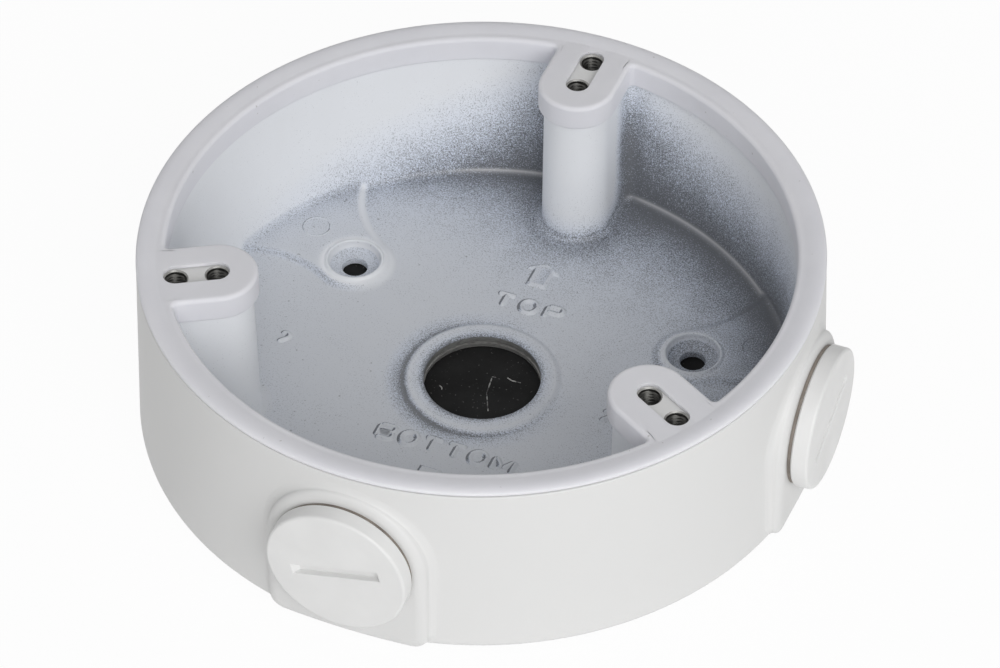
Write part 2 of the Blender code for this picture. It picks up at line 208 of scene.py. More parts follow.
# Where the powder lies thin: it reached the side of the cavity round this angle last
THIN_MIDDLE_ANGLE = 45.0
THIN_HALF_ANGLE = 46.0
THIN_FADE_ANGLE = 78.0
THIN_LEAST = 0.15
THIN_FLOOR_REACH = 15.0
THIN_WALL_HEIGHT = 26.0
THIN_COLUMN_REACH = 7.0
FULL_COVER = 1.8
# Side the painted light comes from: pad slopes facing it are painted lighter, and the foot of the cable ring
# away from it is painted in shadow
PAINTED_LIGHT_SIDE = (0.766, 0.643)

# Colours of the surfaces
POWDER_WHITE = (0.72, 0.72, 0.715)
POWDER_SHADE = (0.675, 0.675, 0.67)
# Painted light: a lighter, cooler copy of the powder for the cavity's walls, lips and ring
POWDER_COOL_LIT = (0.86, 0.875, 0.9)
# The cavity floor's powder: darker, partly thin powder and partly painted shade
POWDER_THIN_AND_SHADED = (0.64, 0.66, 0.695)
THIN_CAST = (0.94, 1.0, 1.12)
THIN_METAL = (0.172, 0.18, 0.196)
# Pale line along the wall's foot: paint built up there and a painted highlight
FOOT_LINE_BUILD_UP_AND_SHEEN = (0.56, 0.56, 0.57)
SILICONE_WHITE = (0.815, 0.815, 0.86)
SILICONE_SHADE = (0.775, 0.775, 0.82)
PLUG_WHITE = (0.785, 0.785, 0.78)
PLUG_SHADE = (0.755, 0.755, 0.75)
MACHINED_DARK = (0.2, 0.198, 0.192)
MACHINED_LIGHT = (0.4, 0.395, 0.38)
THREAD_DARK = (0.03, 0.03, 0.028)
THREAD_LIGHT = (0.1, 0.098, 0.092)
RING_TONE = (0.21, 0.18, 0.155)
RING_DARK = (0.17, 0.148, 0.128)
RING_LIGHT = (0.27, 0.237, 0.205)
FOAM_TONE = (0.018, 0.018, 0.019)
FOAM_DARK = (0.008, 0.008, 0.008)
FOAM_LIGHT = (0.018, 0.018, 0.018)
LINT_TONE = (0.3, 0.3, 0.29)
LINT_DARK = (0.06, 0.06, 0.06)
LINT_LIGHT = (0.5, 0.5, 0.48)
DUST_ON_SEAL = (0.3, 0.28, 0.26)
DUST_ON_FOAM = (0.28, 0.28, 0.27)
FLOOR_TONE = (0.9, 0.9, 0.9)

# Scales of the surfaces' grain, in cells for each metre
GRAIN_SCALE = 4200.0
PATCH_SCALE = 160.0
DOT_SCALE = 1500.0
ORANGE_PEEL_SCALE = 1300.0
TURNING_SCALE = 900.0
SEAL_CLOUD_SCALE = 60.0
SEAL_DUST_SCALE = 1100.0
SEAL_GRAIN_SCALE = 1400.0
PLUG_CLOUD_SCALE = 120.0
PLUG_GRAIN_SCALE = 1800.0
BLOOM_SCALE = 500.0
FOAM_CELL_SCALE = 1500.0
FOAM_CLOUD_SCALE = 130.0
FOAM_DUST_SCALE = 1900.0
FIBRE_SCALE = 900.0

# Studio, in metres and watts
BACKDROP_SHARE = 0.95
WORLD_STRENGTH = 0.37
LIGHT_AIM = (0.0, 0.0, 0.02)
LIGHT_SIZE = 1.1
KEY_PLACE = (0.87, -1.04, 0.85)
KEY_POWER = 15.8
FILL_PLACE = (-0.65, -1.13, 0.92)
FILL_POWER = 1.0

# The photograph's own camera, in metres, degrees and millimetres
CAMERA_PLACE = (0.22179, -0.53678, 0.58036)
CAMERA_TURN = (45.7956, 0.1331, 22.0005)
CAMERA_LENS = 162.0
CAMERA_SENSOR = 36.0

# Places that follow from the sizes above
floor_z = gasket_high.z + FIT_GAP + FLOOR_THICKNESS
recess_z = floor_z - FLOOR_THICKNESS
recess_radius = gasket_radius + FIT_GAP
base_radius = rim_radius + OUTER_DRAFT
cavity_radius = rim_radius - WALL_THICKNESS
outer_tap_circle = rim_radius - OUTER_TAP_INSET
inner_tap_circle = outer_tap_circle - TAP_SPACING
screw_circle = rim_radius - SCREW_INSET
seal_bottom_z = seal_top_z - SEAL_THICKNESS
ring_seat_depth = port_face - ring_low.x + FIT_GAP
ring_seat_radius = ring_radius + FIT_GAP


def arc(centre, radius, start, end, steps):
    """Points on an arc, from one angle to another in degrees, with both ends."""
    points = []
    for i in range(steps + 1):
        a = math.radians(start + (end - start) * i / steps)
        points.append((centre[0] + radius * math.cos(a), centre[1] + radius * math.sin(a)))
    return points


def straight(start, end, steps):
    """Points between two points, without the ends."""
    points = []
    for i in range(1, steps):
        share = i / steps
        points.append((start[0] + (end[0] - start[0]) * share, start[1] + (end[1] - start[1]) * share))
    return points


def turned(points, degrees):
    """Plan points turned about the axis."""
    a = math.radians(degrees)
    return [(x * math.cos(a) - y * math.sin(a), x * math.sin(a) + y * math.cos(a)) for x, y in points]


def at_height(points, z):
    """Plan points as points in space at one height."""
    return [(x, y, z) for x, y in points]


def quarter(steps):
    """Cosine and sine at even steps of a quarter turn."""
    return [(math.cos(math.pi / 2 * i / steps), math.sin(math.pi / 2 * i / steps)) for i in range(steps + 1)]


def smooth_step(value):
    """Rises softly from 0 to 1 while the value does."""
    value = min(max(value, 0.0), 1.0)
    return value * value * (3.0 - 2.0 * value)


def make_object(name, bm, material=None):
    """The bmesh, drawn in millimetres, as an object in metres with outward faces."""
    bmesh.ops.scale(bm, vec=(MM, MM, MM), verts=bm.verts)
    bmesh.ops.recalc_face_normals(bm, faces=bm.faces)
    mesh = bpy.data.meshes.new(name)
    bm.to_mesh(mesh)
    bm.free()
    obj = bpy.data.objects.new(name, mesh)
    bpy.context.scene.collection.objects.link(obj)
    if material:
        mesh.materials.append(material)
    return obj


def add_rings(bm, rings, closed=False):
    """Quads between matching rings, with a flat cap at each end or closed into a loop."""
    made = [[bm.verts.new(p) for p in ring] for ring in rings]
    pairs = list(zip(made, made[1:]))
    if closed:
        pairs.append((made[-1], made[0]))
    for low, high in pairs:
        for i, corner in enumerate(low):
            j = (i + 1) % len(low)
            bm.faces.new((corner, low[j], high[j], high[i]))
    if not closed:
        bm.faces.new(list(reversed(made[0])))
        bm.faces.new(made[-1])
    return [v for ring in made for v in ring]


def turned_rings(profile, steps):
    """Rings of a profile of (radius, height) points turned about the Z axis."""
    return [at_height(arc((0.0, 0.0), radius, 0.0, 360.0, steps)[:-1], z) for radius, z in profile]


def lifted(rings, height):
    """The rings, moved up by a height."""
    return [[(x, y, z + height) for x, y, z in ring] for ring in rings]


def add_turned(bm, profile, steps, place=Matrix(), closed=False):
    """A profile of (radius, height) points turned about its own Z axis, then placed."""
    verts = add_rings(bm, turned_rings(profile, steps), closed)
    bmesh.ops.transform(bm, matrix=place, verts=verts)


def thread(radius_in, radius_out, pitch, length, steps, rows_per_turn=6):
    """Rings of a helical V thread from height 0 down to -length, fading to radius_out at both ends."""
    rings = []
    rows = round(length / pitch * rows_per_turn)
    for row in range(rows + 1):
        z = -length * row / rows
        fade = smooth_step(min(-z, length + z) / pitch)
        ring = []
        for i in range(steps):
            turn = i / steps
            phase = (z / pitch - turn) % 1.0
            ridge = 1.0 - abs(2.0 * phase - 1.0)
            radius = radius_in + (radius_out - radius_in) * (1.0 - fade * ridge)
            ring.append((radius * math.cos(math.tau * turn), radius * math.sin(math.tau * turn), z))
        rings.append(ring)
    return rings


def apply_modifiers(obj):
    """Keeps the object's shape with its modifiers in it, and removes them."""
    evaluated = obj.evaluated_get(bpy.context.evaluated_depsgraph_get())
    mesh = bpy.data.meshes.new_from_object(evaluated)
    obj.modifiers.clear()
    obj.data = mesh


def boolean(target, tool, operation):
    """Joins a tool to the target or cuts it away, in the target's material, and removes the tool."""
    modifier = target.modifiers.new("boolean", "BOOLEAN")
    modifier.operation = operation
    modifier.solver = "MANIFOLD"
    modifier.object = tool
    apply_modifiers(target)
    material = target.data.materials[0]
    target.data.materials.clear()
    target.data.materials.append(material)
    bpy.data.objects.remove(tool)


def shade(obj, sharp_angle=38.0):
    """Smooth shading with sharp edges where the surface turns by more than the angle."""
    obj.data.shade_smooth()
    obj.data.set_sharp_from_angle(angle=math.radians(sharp_angle))


def flatten_shading(obj):
    """Lets the large faces set the shading, so thin faces beside them leave no streaks."""
    modifier = obj.modifiers.new("weighted", "WEIGHTED_NORMAL")
    modifier.keep_sharp = True
    apply_modifiers(obj)


def cavity_outline(wall, column, corner):
    """Edge of the cavity in plan: a circle that is pushed in round each column."""
    reach = math.sqrt((wall - corner) ** 2 - (column + corner) ** 2)
    lean = math.degrees(math.atan2(column + corner, reach))
    points = []
    for angle in COLUMN_ANGLES:
        side = arc((inner_tap_circle, 0.0), column, 180.0, 90.0, NOSE_STEPS)
        side += straight(side[-1], (reach, column), SIDE_STEPS)
        side += arc((reach, column + corner), corner, -90.0, lean, CORNER_STEPS)
        side += arc((0.0, 0.0), wall, lean, PAD_WALL_START, PLAIN_WALL_STEPS)[1:]
        side += arc((0.0, 0.0), wall, PAD_WALL_START, PAD_WALL_END, PAD_WALL_STEPS)[1:]
        side += arc((0.0, 0.0), wall, PAD_WALL_END, 120.0 - lean, PLAIN_WALL_STEPS)[1:]
        other = arc((inner_tap_circle, 0.0), column, -180.0, -90.0, NOSE_STEPS)
        other += straight(other[-1], (reach, -column), SIDE_STEPS)
        other += arc((reach, -column - corner), corner, 90.0, -lean, CORNER_STEPS)
        side += turned(list(reversed(other))[1:-1], 120.0)
        points += turned(side, angle)
    return points


def inset_outline(depth, drop=0.0):
    """Cavity outline moved into the cavity by depth, at drop of the way down to the floor."""
    wall = cavity_radius - INNER_DRAFT * drop - depth
    column = COLUMN_RADIUS + COLUMN_DRAFT * drop + depth
    return cavity_outline(wall, column, COLUMN_CORNER - depth)


def even_angles(outline):
    """Angles in radians round the axis that follow the outline's own length."""
    lengths = [0.0]
    for a, b in zip(outline, outline[1:] + outline[:1]):
        lengths.append(lengths[-1] + math.hypot(b[0] - a[0], b[1] - a[1]))
    start = math.atan2(outline[0][1], outline[0][0])
    return [start + math.tau * s / lengths[-1] for s in lengths[:-1]]


def rim_angles(outline):
    """Angles in radians of the rim's points that face the outline's: evenly spread over each column."""
    sector = len(outline) // len(COLUMN_ANGLES)
    angles = []
    for n, column_angle in enumerate(COLUMN_ANGLES):
        start = math.radians(column_angle)
        for i in range(sector):
            x, y = outline[n * sector + min(max(i, COLUMN_STEPS), sector - COLUMN_STEPS)]
            turn = (math.atan2(y, x) - start) % math.tau
            if i < COLUMN_STEPS:
                turn *= i / COLUMN_STEPS
            elif i > sector - COLUMN_STEPS:
                left = math.tau / len(COLUMN_ANGLES) - turn
                turn += left * (i - sector + COLUMN_STEPS) / COLUMN_STEPS
            angles.append(start + turn)
    return angles


def ring_at(radius, angles, z):
    """Ring of points on a circle, at angles in radians and at a height."""
    return [(radius * math.cos(a), radius * math.sin(a), z) for a in angles]


def pad_height(x, y):
    """Height of the screw pads above the floor at a point."""
    height = 0.0
    for angle in SCREW_ANGLES:
        (across, side), = turned([(x, y)], -angle)
        if across < 0.0:
            continue
        if across < screw_circle:
            outside = math.hypot(across - screw_circle, side) - SCREW_PAD_HALF
        else:
            centre_y = SCREW_PAD_HALF + SCREW_PAD_FLARE
            outside = SCREW_PAD_FLARE - math.hypot(across - screw_circle, abs(side) - centre_y)
        height = max(height, SCREW_PAD_RAISE * smooth_step(1.0 - outside / SCREW_PAD_SLOPE))
    return height


def floor_rings(angles):
    """Rings of the floor from the cable hole's edge out to the fillet at the wall's foot."""
    top = floor_z + CABLE_RING_RAISE
    edge = CABLE_RING_RAISE / 2
    outer = CABLE_HOLE_RADIUS + CABLE_RING_WIDTH
    rings = []
    for c, s in quarter(4):
        rings.append(ring_at(CABLE_HOLE_RADIUS + edge * (1.0 - c), angles, top - edge * (1.0 - s)))
    rings.append(ring_at(CABLE_HOLE_RADIUS + 1.2, angles, top))
    shoulder = outer - CABLE_RING_SLOPE / 2
    for i in range(9):
        share = i / 8
        radius = shoulder + CABLE_RING_SLOPE * share
        rings.append(ring_at(radius, angles, top - CABLE_RING_RAISE * smooth_step(share)))
    for extra in (0.3, 0.8):
        rings.append(ring_at(shoulder + CABLE_RING_SLOPE + extra, angles, floor_z))
    last_round = screw_circle - SCREW_PAD_HALF - 2 * SCREW_PAD_SLOPE
    first_round = shoulder + CABLE_RING_SLOPE + 0.8
    for i in range(1, 6):
        radius = first_round + (last_round - first_round) * i / 5
        rings.append(ring_at(radius, angles, floor_z))
    start = ring_at(last_round, angles, floor_z)
    end = inset_outline(WALL_FOOT_FILLET, 1.0)
    steps = 50
    for i in range(1, steps + 1):
        ring = []
        for a, b in zip(start, end):
            x = a[0] + (b[0] - a[0]) * i / steps
            y = a[1] + (b[1] - a[1]) * i / steps
            ring.append((x, y, floor_z + pad_height(x, y)))
        rings.append(ring)
    return rings


def make_housing(material, machined, threaded):
    """The casting: one closed skin of rings, then its pads, lips and holes."""
    outline = inset_outline(0.0)
    hole_angles = even_angles(outline)
    angles = rim_angles(outline)
    rings = floor_rings(hole_angles)
    foot = rings[-1]
    for c, s in quarter(7)[1:]:
        plan = inset_outline(WALL_FOOT_FILLET * (1.0 - s), 1.0)
        ring = []
        for (x, y), (_, _, z) in zip(plan, foot):
            ring.append((x, y, z + (floor_z + WALL_FOOT_FILLET - z) * (1.0 - c)))
        rings.append(ring)
    for i in range(1, 29):
        share = i / 28
        z = floor_z + WALL_FOOT_FILLET + (wall_top_z - floor_z - WALL_FOOT_FILLET) * share
        rings.append(at_height(inset_outline(0.0, 1.0 - share), z))
    for c, s in quarter(3):
        rings.append(ring_at(rim_radius - RIM_EDGE_RADIUS * (1.0 - s), angles,
                             wall_top_z - RIM_EDGE_RADIUS * (1.0 - c)))
    wall_low_z = base_z + BASE_EDGE_RADIUS
    for i in range(1, 13):
        share = i / 12
        z = wall_top_z - RIM_EDGE_RADIUS + (wall_low_z - wall_top_z + RIM_EDGE_RADIUS) * share
        rings.append(ring_at(rim_radius + OUTER_DRAFT * share, angles, z))
    for c, s in quarter(6)[1:]:
        rings.append(ring_at(base_radius - BASE_EDGE_RADIUS * (1.0 - c), angles,
                             wall_low_z - BASE_EDGE_RADIUS * s))
    rings.append(ring_at(recess_radius, angles, base_z))
    rings.append(ring_at(recess_radius, angles, recess_z))
    rings.append(ring_at(CABLE_HOLE_RADIUS, hole_angles, recess_z))
    groove = (recess_z + floor_z) / 2
    for offset, depth in ((-0.3, 0.0), (-0.2, 1.0), (0.2, 1.0), (0.3, 0.0)):
        rings.append(ring_at(CABLE_HOLE_RADIUS + CABLE_GROOVE_DEPTH * depth, hole_angles, groove + offset))
    bm = bmesh.new()
    add_rings(bm, rings, closed=True)
    housing = make_object("housing_casting", bm, material)
    for degrees in PORTS.values():
        boolean(housing, port_pad(degrees), "UNION")
    boolean(housing, screw_lips(), "UNION")
    boolean(housing, hole_cutters(), "DIFFERENCE")
    bare_machined_faces(housing, machined, threaded)
    return housing


def port_frame(degrees):
    """Matrix whose +Z points out of a port, with +Y up, centred on the port's axis at the box's axis."""
    out = Vector((math.cos(math.radians(degrees)), math.sin(math.radians(degrees)), 0.0))
    up = Vector((0.0, 0.0, 1.0))
    frame_matrix = Matrix((up.cross(out), up, out)).transposed().to_4x4()
    frame_matrix.translation = up * port_z
    return frame_matrix


def port_pad_outline(grow):
    """Arched top round the port, straight sides and rounded lower corners."""
    half = PORT_PAD_HALF + grow
    corner = PORT_PAD_CORNER + grow
    foot = base_z - port_z - min(grow, 0.0)
    points = arc((0.0, 0.0), half, 0.0, 180.0, 90)
    points += straight(points[-1], (-half, foot + corner), 8)
    points += arc((corner - half, foot + corner), corner, 180.0, 270.0, 12)
    points += straight(points[-1], (half - corner, foot), 30)
    points += arc((half - corner, foot + corner), corner, 270.0, 360.0, 12)
    points += straight(points[-1], (half, 0.0), 8)
    return points


def wall_reach(x, y):
    """Distance from the axis to the round wall, straight out at a point of a port's own plane."""
    share = (wall_top_z - port_z - y) / (wall_top_z - base_z)
    radius = rim_radius + OUTER_DRAFT * min(share, 1.0)
    return math.sqrt(radius ** 2 - x ** 2)


def port_pad(degrees):
    """Flat face of a port with a wide rounded edge and a soft fillet down to the round wall."""
    plain = port_pad_outline(0.0)
    face = port_pad_outline(-PORT_PAD_EDGE)
    foot = port_pad_outline(PORT_PAD_BLEND)
    heights = [port_face - wall_reach(x, y) for x, y in plain]
    rings = []
    for c, s in quarter(10):
        ring = []
        for (x, y), (fx, fy), height in zip(plain, face, heights):
            drop = PORT_PAD_EDGE_SHARE * height * (1.0 - c)
            ring.append((fx + (x - fx) * s, fy + (y - fy) * s, port_face - drop))
        rings.append(ring)
    for c, s in quarter(10)[1:]:
        ring = []
        for (x, y), (fx, fy), height in zip(plain, foot, heights):
            px, py = fx + (x - fx) * c, fy + (y - fy) * c
            rise = (1.0 - PORT_PAD_EDGE_SHARE) * height * (1.0 - s) - 0.05 * (1.0 - c)
            ring.append((px, py, wall_reach(px, py) + rise))
        rings.append(ring)
    rings += lifted(rings[-1:], -2.0)
    bm = bmesh.new()
    verts = add_rings(bm, rings)
    bmesh.ops.transform(bm, matrix=port_frame(degrees), verts=verts)
    return make_object("port_pad", bm)


def screw_lips():
    """Rounded lip round each screw hole."""
    bm = bmesh.new()
    pad_z = floor_z + SCREW_PAD_RAISE
    inner = COUNTERSINK_RADIUS - 1.0
    outer = SCREW_LIP_RADIUS + SCREW_LIP_RAISE
    profile = [(inner, pad_z - 1.0), (outer, pad_z - 1.0), (outer, pad_z - 0.02)]
    for i in range(13):
        share = i / 12
        radius = outer - (outer - COUNTERSINK_RADIUS) * share
        profile.append((radius, pad_z + SCREW_LIP_RAISE * smooth_step(1.4 * share)))
    profile.append((inner, pad_z + SCREW_LIP_RAISE))
    for angle in SCREW_ANGLES:
        (x, y), = turned([(screw_circle, 0.0)], angle)
        add_turned(bm, profile, 72, Matrix.Translation((x, y, 0.0)), closed=True)
    return make_object("screw_lips", bm)


def hole_cutters():
    """Screw holes, tapped holes with real threads, and the threaded ports."""
    bm = bmesh.new()
    mouth_z = floor_z + SCREW_PAD_RAISE + SCREW_LIP_RAISE
    profile = [(SCREW_HOLE_RADIUS, base_z - 1.0), (SCREW_HOLE_RADIUS, mouth_z - COUNTERSINK_DEPTH - 0.2)]
    for c, s in quarter(8):
        radius = SCREW_HOLE_RADIUS + 0.1 + (COUNTERSINK_RADIUS - SCREW_HOLE_RADIUS - 0.1) * s
        depth = (COUNTERSINK_DEPTH - SCREW_LIP_EDGE) * c ** 0.8
        profile.append((radius, mouth_z - SCREW_LIP_EDGE - depth))
    for c, s in quarter(4)[1:]:
        radius = COUNTERSINK_RADIUS + SCREW_LIP_EDGE * (1.0 - c)
        profile.append((radius, mouth_z - SCREW_LIP_EDGE * (1.0 - s)))
    profile.append((COUNTERSINK_RADIUS + SCREW_LIP_EDGE, mouth_z + 1.0))
    for angle in SCREW_ANGLES:
        (x, y), = turned([(screw_circle, 0.0)], angle)
        add_turned(bm, profile, 72, Matrix.Translation((x, y, 0.0)))

    for angle in COLUMN_ANGLES:
        for tap_circle in (inner_tap_circle, outer_tap_circle):
            (x, y), = turned([(tap_circle, 0.0)], angle)
            rings = turned_rings([(TAP_ROOT_RADIUS + 0.4, 1.0), (TAP_ROOT_RADIUS + 0.3, 0.02)], TAP_STEPS)
            turns = thread(TAP_CREST_RADIUS, TAP_ROOT_RADIUS, TAP_PITCH, TAP_DEPTH, TAP_STEPS)
            verts = add_rings(bm, rings + lifted(turns, -TAP_CHAMFER))
            bmesh.ops.transform(bm, matrix=Matrix.Translation((x, y, wall_top_z)), verts=verts)

    seat_z = port_face - ring_seat_depth
    seat = [(ring_seat_radius, port_face + 1.0), (ring_seat_radius, seat_z),
            (PORT_BORE_RADIUS, seat_z - 0.01)]
    start = seat_z - 0.2
    length = start - cavity_radius + INNER_DRAFT + 3.0
    for degrees in PORTS.values():
        turns = thread(PORT_BORE_RADIUS, PORT_BORE_RADIUS + PORT_THREAD_DEPTH, PORT_PITCH, length, PORT_STEPS)
        verts = add_rings(bm, turned_rings(seat, PORT_STEPS) + lifted(turns, start))
        bmesh.ops.transform(bm, matrix=port_frame(degrees), verts=verts)
    return make_object("hole_cutters", bm)


def column_distance(x, y):
    """How far a point is outside the nearest column, below zero within it."""
    nearest = 1000.0
    for angle in COLUMN_ANGLES:
        (across, side), = turned([(x, y)], -angle)
        if across > inner_tap_circle:
            nearest = min(nearest, abs(side))
        elif across > 0.0:
            nearest = min(nearest, math.hypot(across - inner_tap_circle, side))
    return nearest - COLUMN_RADIUS


def thin_share(angle):
    """How thin the powder is in the corners of the cavity at an angle round the axis."""
    away = abs((angle - THIN_MIDDLE_ANGLE + 180.0) % 360.0 - 180.0)
    return 1.0 - (1.0 - THIN_LEAST) * smooth_step((away - THIN_HALF_ANGLE) / THIN_FADE_ANGLE)


def pad_facing(x, y):
    """How far the slope of a screw pad faces the side of the painted light at a point, from -1 to 1."""
    step = 0.1
    slope_x = pad_height(x + step, y) - pad_height(x - step, y)
    slope_y = pad_height(x, y + step) - pad_height(x, y - step)
    steepest = math.hypot(slope_x, slope_y)
    if steepest < 0.001:
        return 0.0
    return -(slope_x * PAINTED_LIGHT_SIDE[0] + slope_y * PAINTED_LIGHT_SIDE[1]) / steepest


def lip_distances(x, y):
    """How far a point is outside the lip of each screw hole, below zero within it."""
    distances = []
    for angle in SCREW_ANGLES:
        (across, side), = turned([(x, y)], -angle)
        distances.append(math.hypot(across - screw_circle, side) - SCREW_LIP_RADIUS)
    return distances


def floor_cover(x, y, thin, pad):
    """Share of the floor that shows powder; pad is how far the point is up a screw pad."""
    radius = math.hypot(x, y)
    from_wall = max(cavity_radius - INNER_DRAFT - radius, 0.0)
    from_column = max(column_distance(x, y), 0.0)
    reach = THIN_FLOOR_REACH * (0.45 + 0.55 * thin)
    cover = 0.97 - 0.88 * thin ** 1.6 * math.exp(-from_wall / reach) - 0.2 * math.exp(-from_wall / 4.0)
    cover *= 1.0 - 0.85 * thin * math.exp(-from_column / (0.6 * THIN_COLUMN_REACH))

    # Painted light on a screw pad's slope: more cover, a painted highlight, on the side that faces the light
    # and less, painted shade, on the other; the lip of its hole caught more all round
    facing = pad_facing(x, y) if 0.02 < pad < 0.98 else 0.0
    caught = max(facing, 0.0) * 0.7 * (1.0 - 0.5 * thin) + 0.4 * min(facing, 0.0)
    cover += 4.0 * pad * (1.0 - pad) * caught
    for from_lip in lip_distances(x, y):
        cover += 0.6 * (1.0 - 0.65 * thin) * math.exp(-((from_lip + 0.2) / 0.8) ** 2)

    # Painted shadow at the foot of the cable ring on the side away from the light; at the hole's edge little
    # powder lies, least on that side
    foot = CABLE_HOLE_RADIUS + CABLE_RING_WIDTH + CABLE_RING_SLOPE / 2
    shadow_and_thin_side = 0.5 - 0.5 * (PAINTED_LIGHT_SIDE[0] * x + PAINTED_LIGHT_SIDE[1] * y) / max(radius, 0.1)
    cover -= 0.75 * shadow_and_thin_side * math.exp(-((radius - foot + 0.1) / 0.55) ** 2)
    cover -= 0.5 * shadow_and_thin_side * math.exp(-((radius - foot - 1.0) / 1.6) ** 2)
    return cover - (0.5 + 0.3 * shadow_and_thin_side) * math.exp(-((radius - CABLE_HOLE_RADIUS) / 1.1) ** 2)


def wall_cover(x, y, height, thin):
    """Share of the inner wall and the columns that shows powder, at a height above the floor."""
    radius = math.hypot(x, y)
    from_wall = max(cavity_radius - INNER_DRAFT - radius, 0.0)
    from_column = max(column_distance(x, y), 0.0)
    low = min(max((THIN_WALL_HEIGHT + 11.0 - height) / 22.0, 0.0), 1.0)
    if from_wall < 1.0:
        top = THIN_WALL_HEIGHT * math.sqrt(thin)
        cover = 1.1 - thin * max(1.0 - height / top, 0.0)
        away = abs(math.degrees(math.atan2(y, x)) - THIN_MIDDLE_ANGLE)
        reach = THIN_COLUMN_REACH * (1.5 if away < THIN_HALF_ANGLE else 1.0)
        return cover * (1.0 - 0.9 * thin * low * math.exp(-from_column / reach))
    exposed = smooth_step(from_wall / THIN_COLUMN_REACH)
    return 1.1 - thin * low * (1.0 - exposed) - 0.8 * thin * exposed * math.exp(-height / 3.0)


def pale_share(x, y, pad, thin):
    """How far the floor has the paler powder of the cable ring and the screw lips, and the painted highlight
    on the pads' slopes that face the light.
    """
    pale = 0.35 * math.exp(-((math.hypot(x, y) - CABLE_HOLE_RADIUS - CABLE_RING_WIDTH + 1.0) / 1.6) ** 2)
    if 0.02 < pad < 0.98:
        # Painted highlight on the slope of a screw pad that faces the light
        pale = max(pale, 4.0 * pad * (1.0 - pad) * max(pad_facing(x, y), 0.0))
    for from_lip in lip_distances(x, y):
        pale = max(pale, math.exp(-((from_lip - 0.3) / 1.0) ** 2))
    return pale * (1.0 - 0.65 * thin)


def powder_cover(x, y, z):
    """How much powder a point of the casting shows, and how far it is like the cavity's floor."""
    radius = math.hypot(x, y)
    if radius > cavity_radius + 0.3 or z > wall_top_z - 0.05:
        return FULL_COVER, 0.0
    thin = thin_share(math.degrees(math.atan2(y, x)))
    if in_tapped_hole(x, y, z):
        return 0.3, 0.0
    # The screw holes' countersinks take the floor's darker tone and a thinner cover, partly thin powder and
    # partly painted shade
    if z < floor_z - 0.05:
        return 0.9 - 0.5 * thin, 1.0
    pad = pad_height(x, y) / SCREW_PAD_RAISE
    height = max(z - floor_z - SCREW_PAD_RAISE * pad, 0.0)
    on_floor = floor_cover(x, y, thin, pad)
    on_wall = wall_cover(x, y, height, thin)
    beyond_lips = screw_circle + SCREW_LIP_RADIUS + SCREW_LIP_RAISE
    share = 0.0
    if radius > beyond_lips or column_distance(x, y) < COLUMN_FOOT_FILLET:
        share = smooth_step(height / WALL_FOOT_FILLET)
    cover = on_floor + (on_wall - on_floor) * share
    # Painted highlight: a lighter line along the fillet at each column's foot
    if column_distance(x, y) < COLUMN_FOOT_FILLET:
        cover += 0.2 * math.exp(-((height - 0.3) / 0.3) ** 2)
    pale = max(share, pale_share(x, y, pad, thin))
    return min(max(cover, 0.0), 1.2), 1.0 - 0.5 * pale


def foot_line_build_up_and_sheen(x, y, z):
    """How far a point lies on the smooth pale ridge along the foot of the cavity's wall: paint built up there
    and a painted highlight.
    """
    if not 50.0 < math.hypot(x, y) < cavity_radius + 0.3:
        return 0.0
    pad = pad_height(x, y)
    thin = thin_share(math.degrees(math.atan2(y, x)))
    shown = smooth_step((thin - 0.7) / 0.2) * smooth_step((column_distance(x, y) - 0.5) / 4.0)
    away = (z - floor_z - pad - FOOT_RIDGE_HEIGHT) / FOOT_RIDGE_HALF
    return 0.7 * shown * (1.0 - pad / SCREW_PAD_RAISE) * math.exp(-away ** 2)


def coat(obj, shade_side=0.0, paler=0.0):
    """Stores the powder's cover on the mesh, less on sides that turn away from the light as painted shade,
    and paler.
    """
    mesh = obj.data
    cover = mesh.attributes.new("cover", "FLOAT", "POINT")
    inside = mesh.attributes.new("inside", "FLOAT", "POINT")
    # The ridge attribute holds the pale line at the wall's foot, paint built up there and a painted highlight
    ridge = mesh.attributes.new("ridge", "FLOAT", "POINT")
    covers = []
    insides = []
    foot_line_values = []
    for vertex in mesh.vertices:
        x, y, z = vertex.co / MM
        powder_here, inside_here = powder_cover(x, y, z)
        # Painted shade: sides that turn away from the light get less cover and show darker
        away = max(0.4 * vertex.normal.y - vertex.normal.x, 0.0)
        covers.append(max(powder_here + paler - shade_side * away, 0.0))
        insides.append(max(inside_here - paler, 0.0))
        foot_line_values.append(foot_line_build_up_and_sheen(x, y, z))
    cover.data.foreach_set("value", covers)
    inside.data.foreach_set("value", insides)
    ridge.data.foreach_set("value", foot_line_values)


def tap_distance(x, y):
    """Distance from the axis of the nearest tapped hole."""
    nearest = 1000.0
    for angle in COLUMN_ANGLES:
        for tap_circle in (inner_tap_circle, outer_tap_circle):
            (px, py), = turned([(tap_circle, 0.0)], angle)
            nearest = min(nearest, math.hypot(x - px, y - py))
    return nearest


def in_tapped_hole(x, y, z):
    """Whether a point lies on the thread of a tapped hole, below its chamfer."""
    return z < wall_top_z - TAP_CHAMFER and tap_distance(x, y) < TAP_ROOT_RADIUS + 0.02


def in_machined_hole(x, y, z):
    """Whether a point lies on the cable hole's wall or in a port."""
    if math.hypot(x, y) < CABLE_HOLE_RADIUS + CABLE_GROOVE_DEPTH + 0.1 and z < floor_z + CABLE_RING_RAISE / 2:
        return True
    for degrees in PORTS.values():
        (out, side), = turned([(x, y)], -degrees)
        from_axis = math.hypot(side, z - port_z)
        if 0.0 < out < port_face - 0.1 and from_axis < ring_seat_radius + 0.02:
            return True
    return False


def bare_machined_faces(obj, machined, threaded):
    """Gives the machined faces of the casting their own metals."""
    obj.data.materials.append(machined)
    obj.data.materials.append(threaded)
    for face in obj.data.polygons:
        place = face.center / MM
        if in_machined_hole(*place):
            face.material_index = 1
        elif in_tapped_hole(*place):
            face.material_index = 2
        elif place.z < wall_top_z - 0.02 and tap_distance(place.x, place.y) < TAP_ROOT_RADIUS + 0.4:
            face.material_index = 1


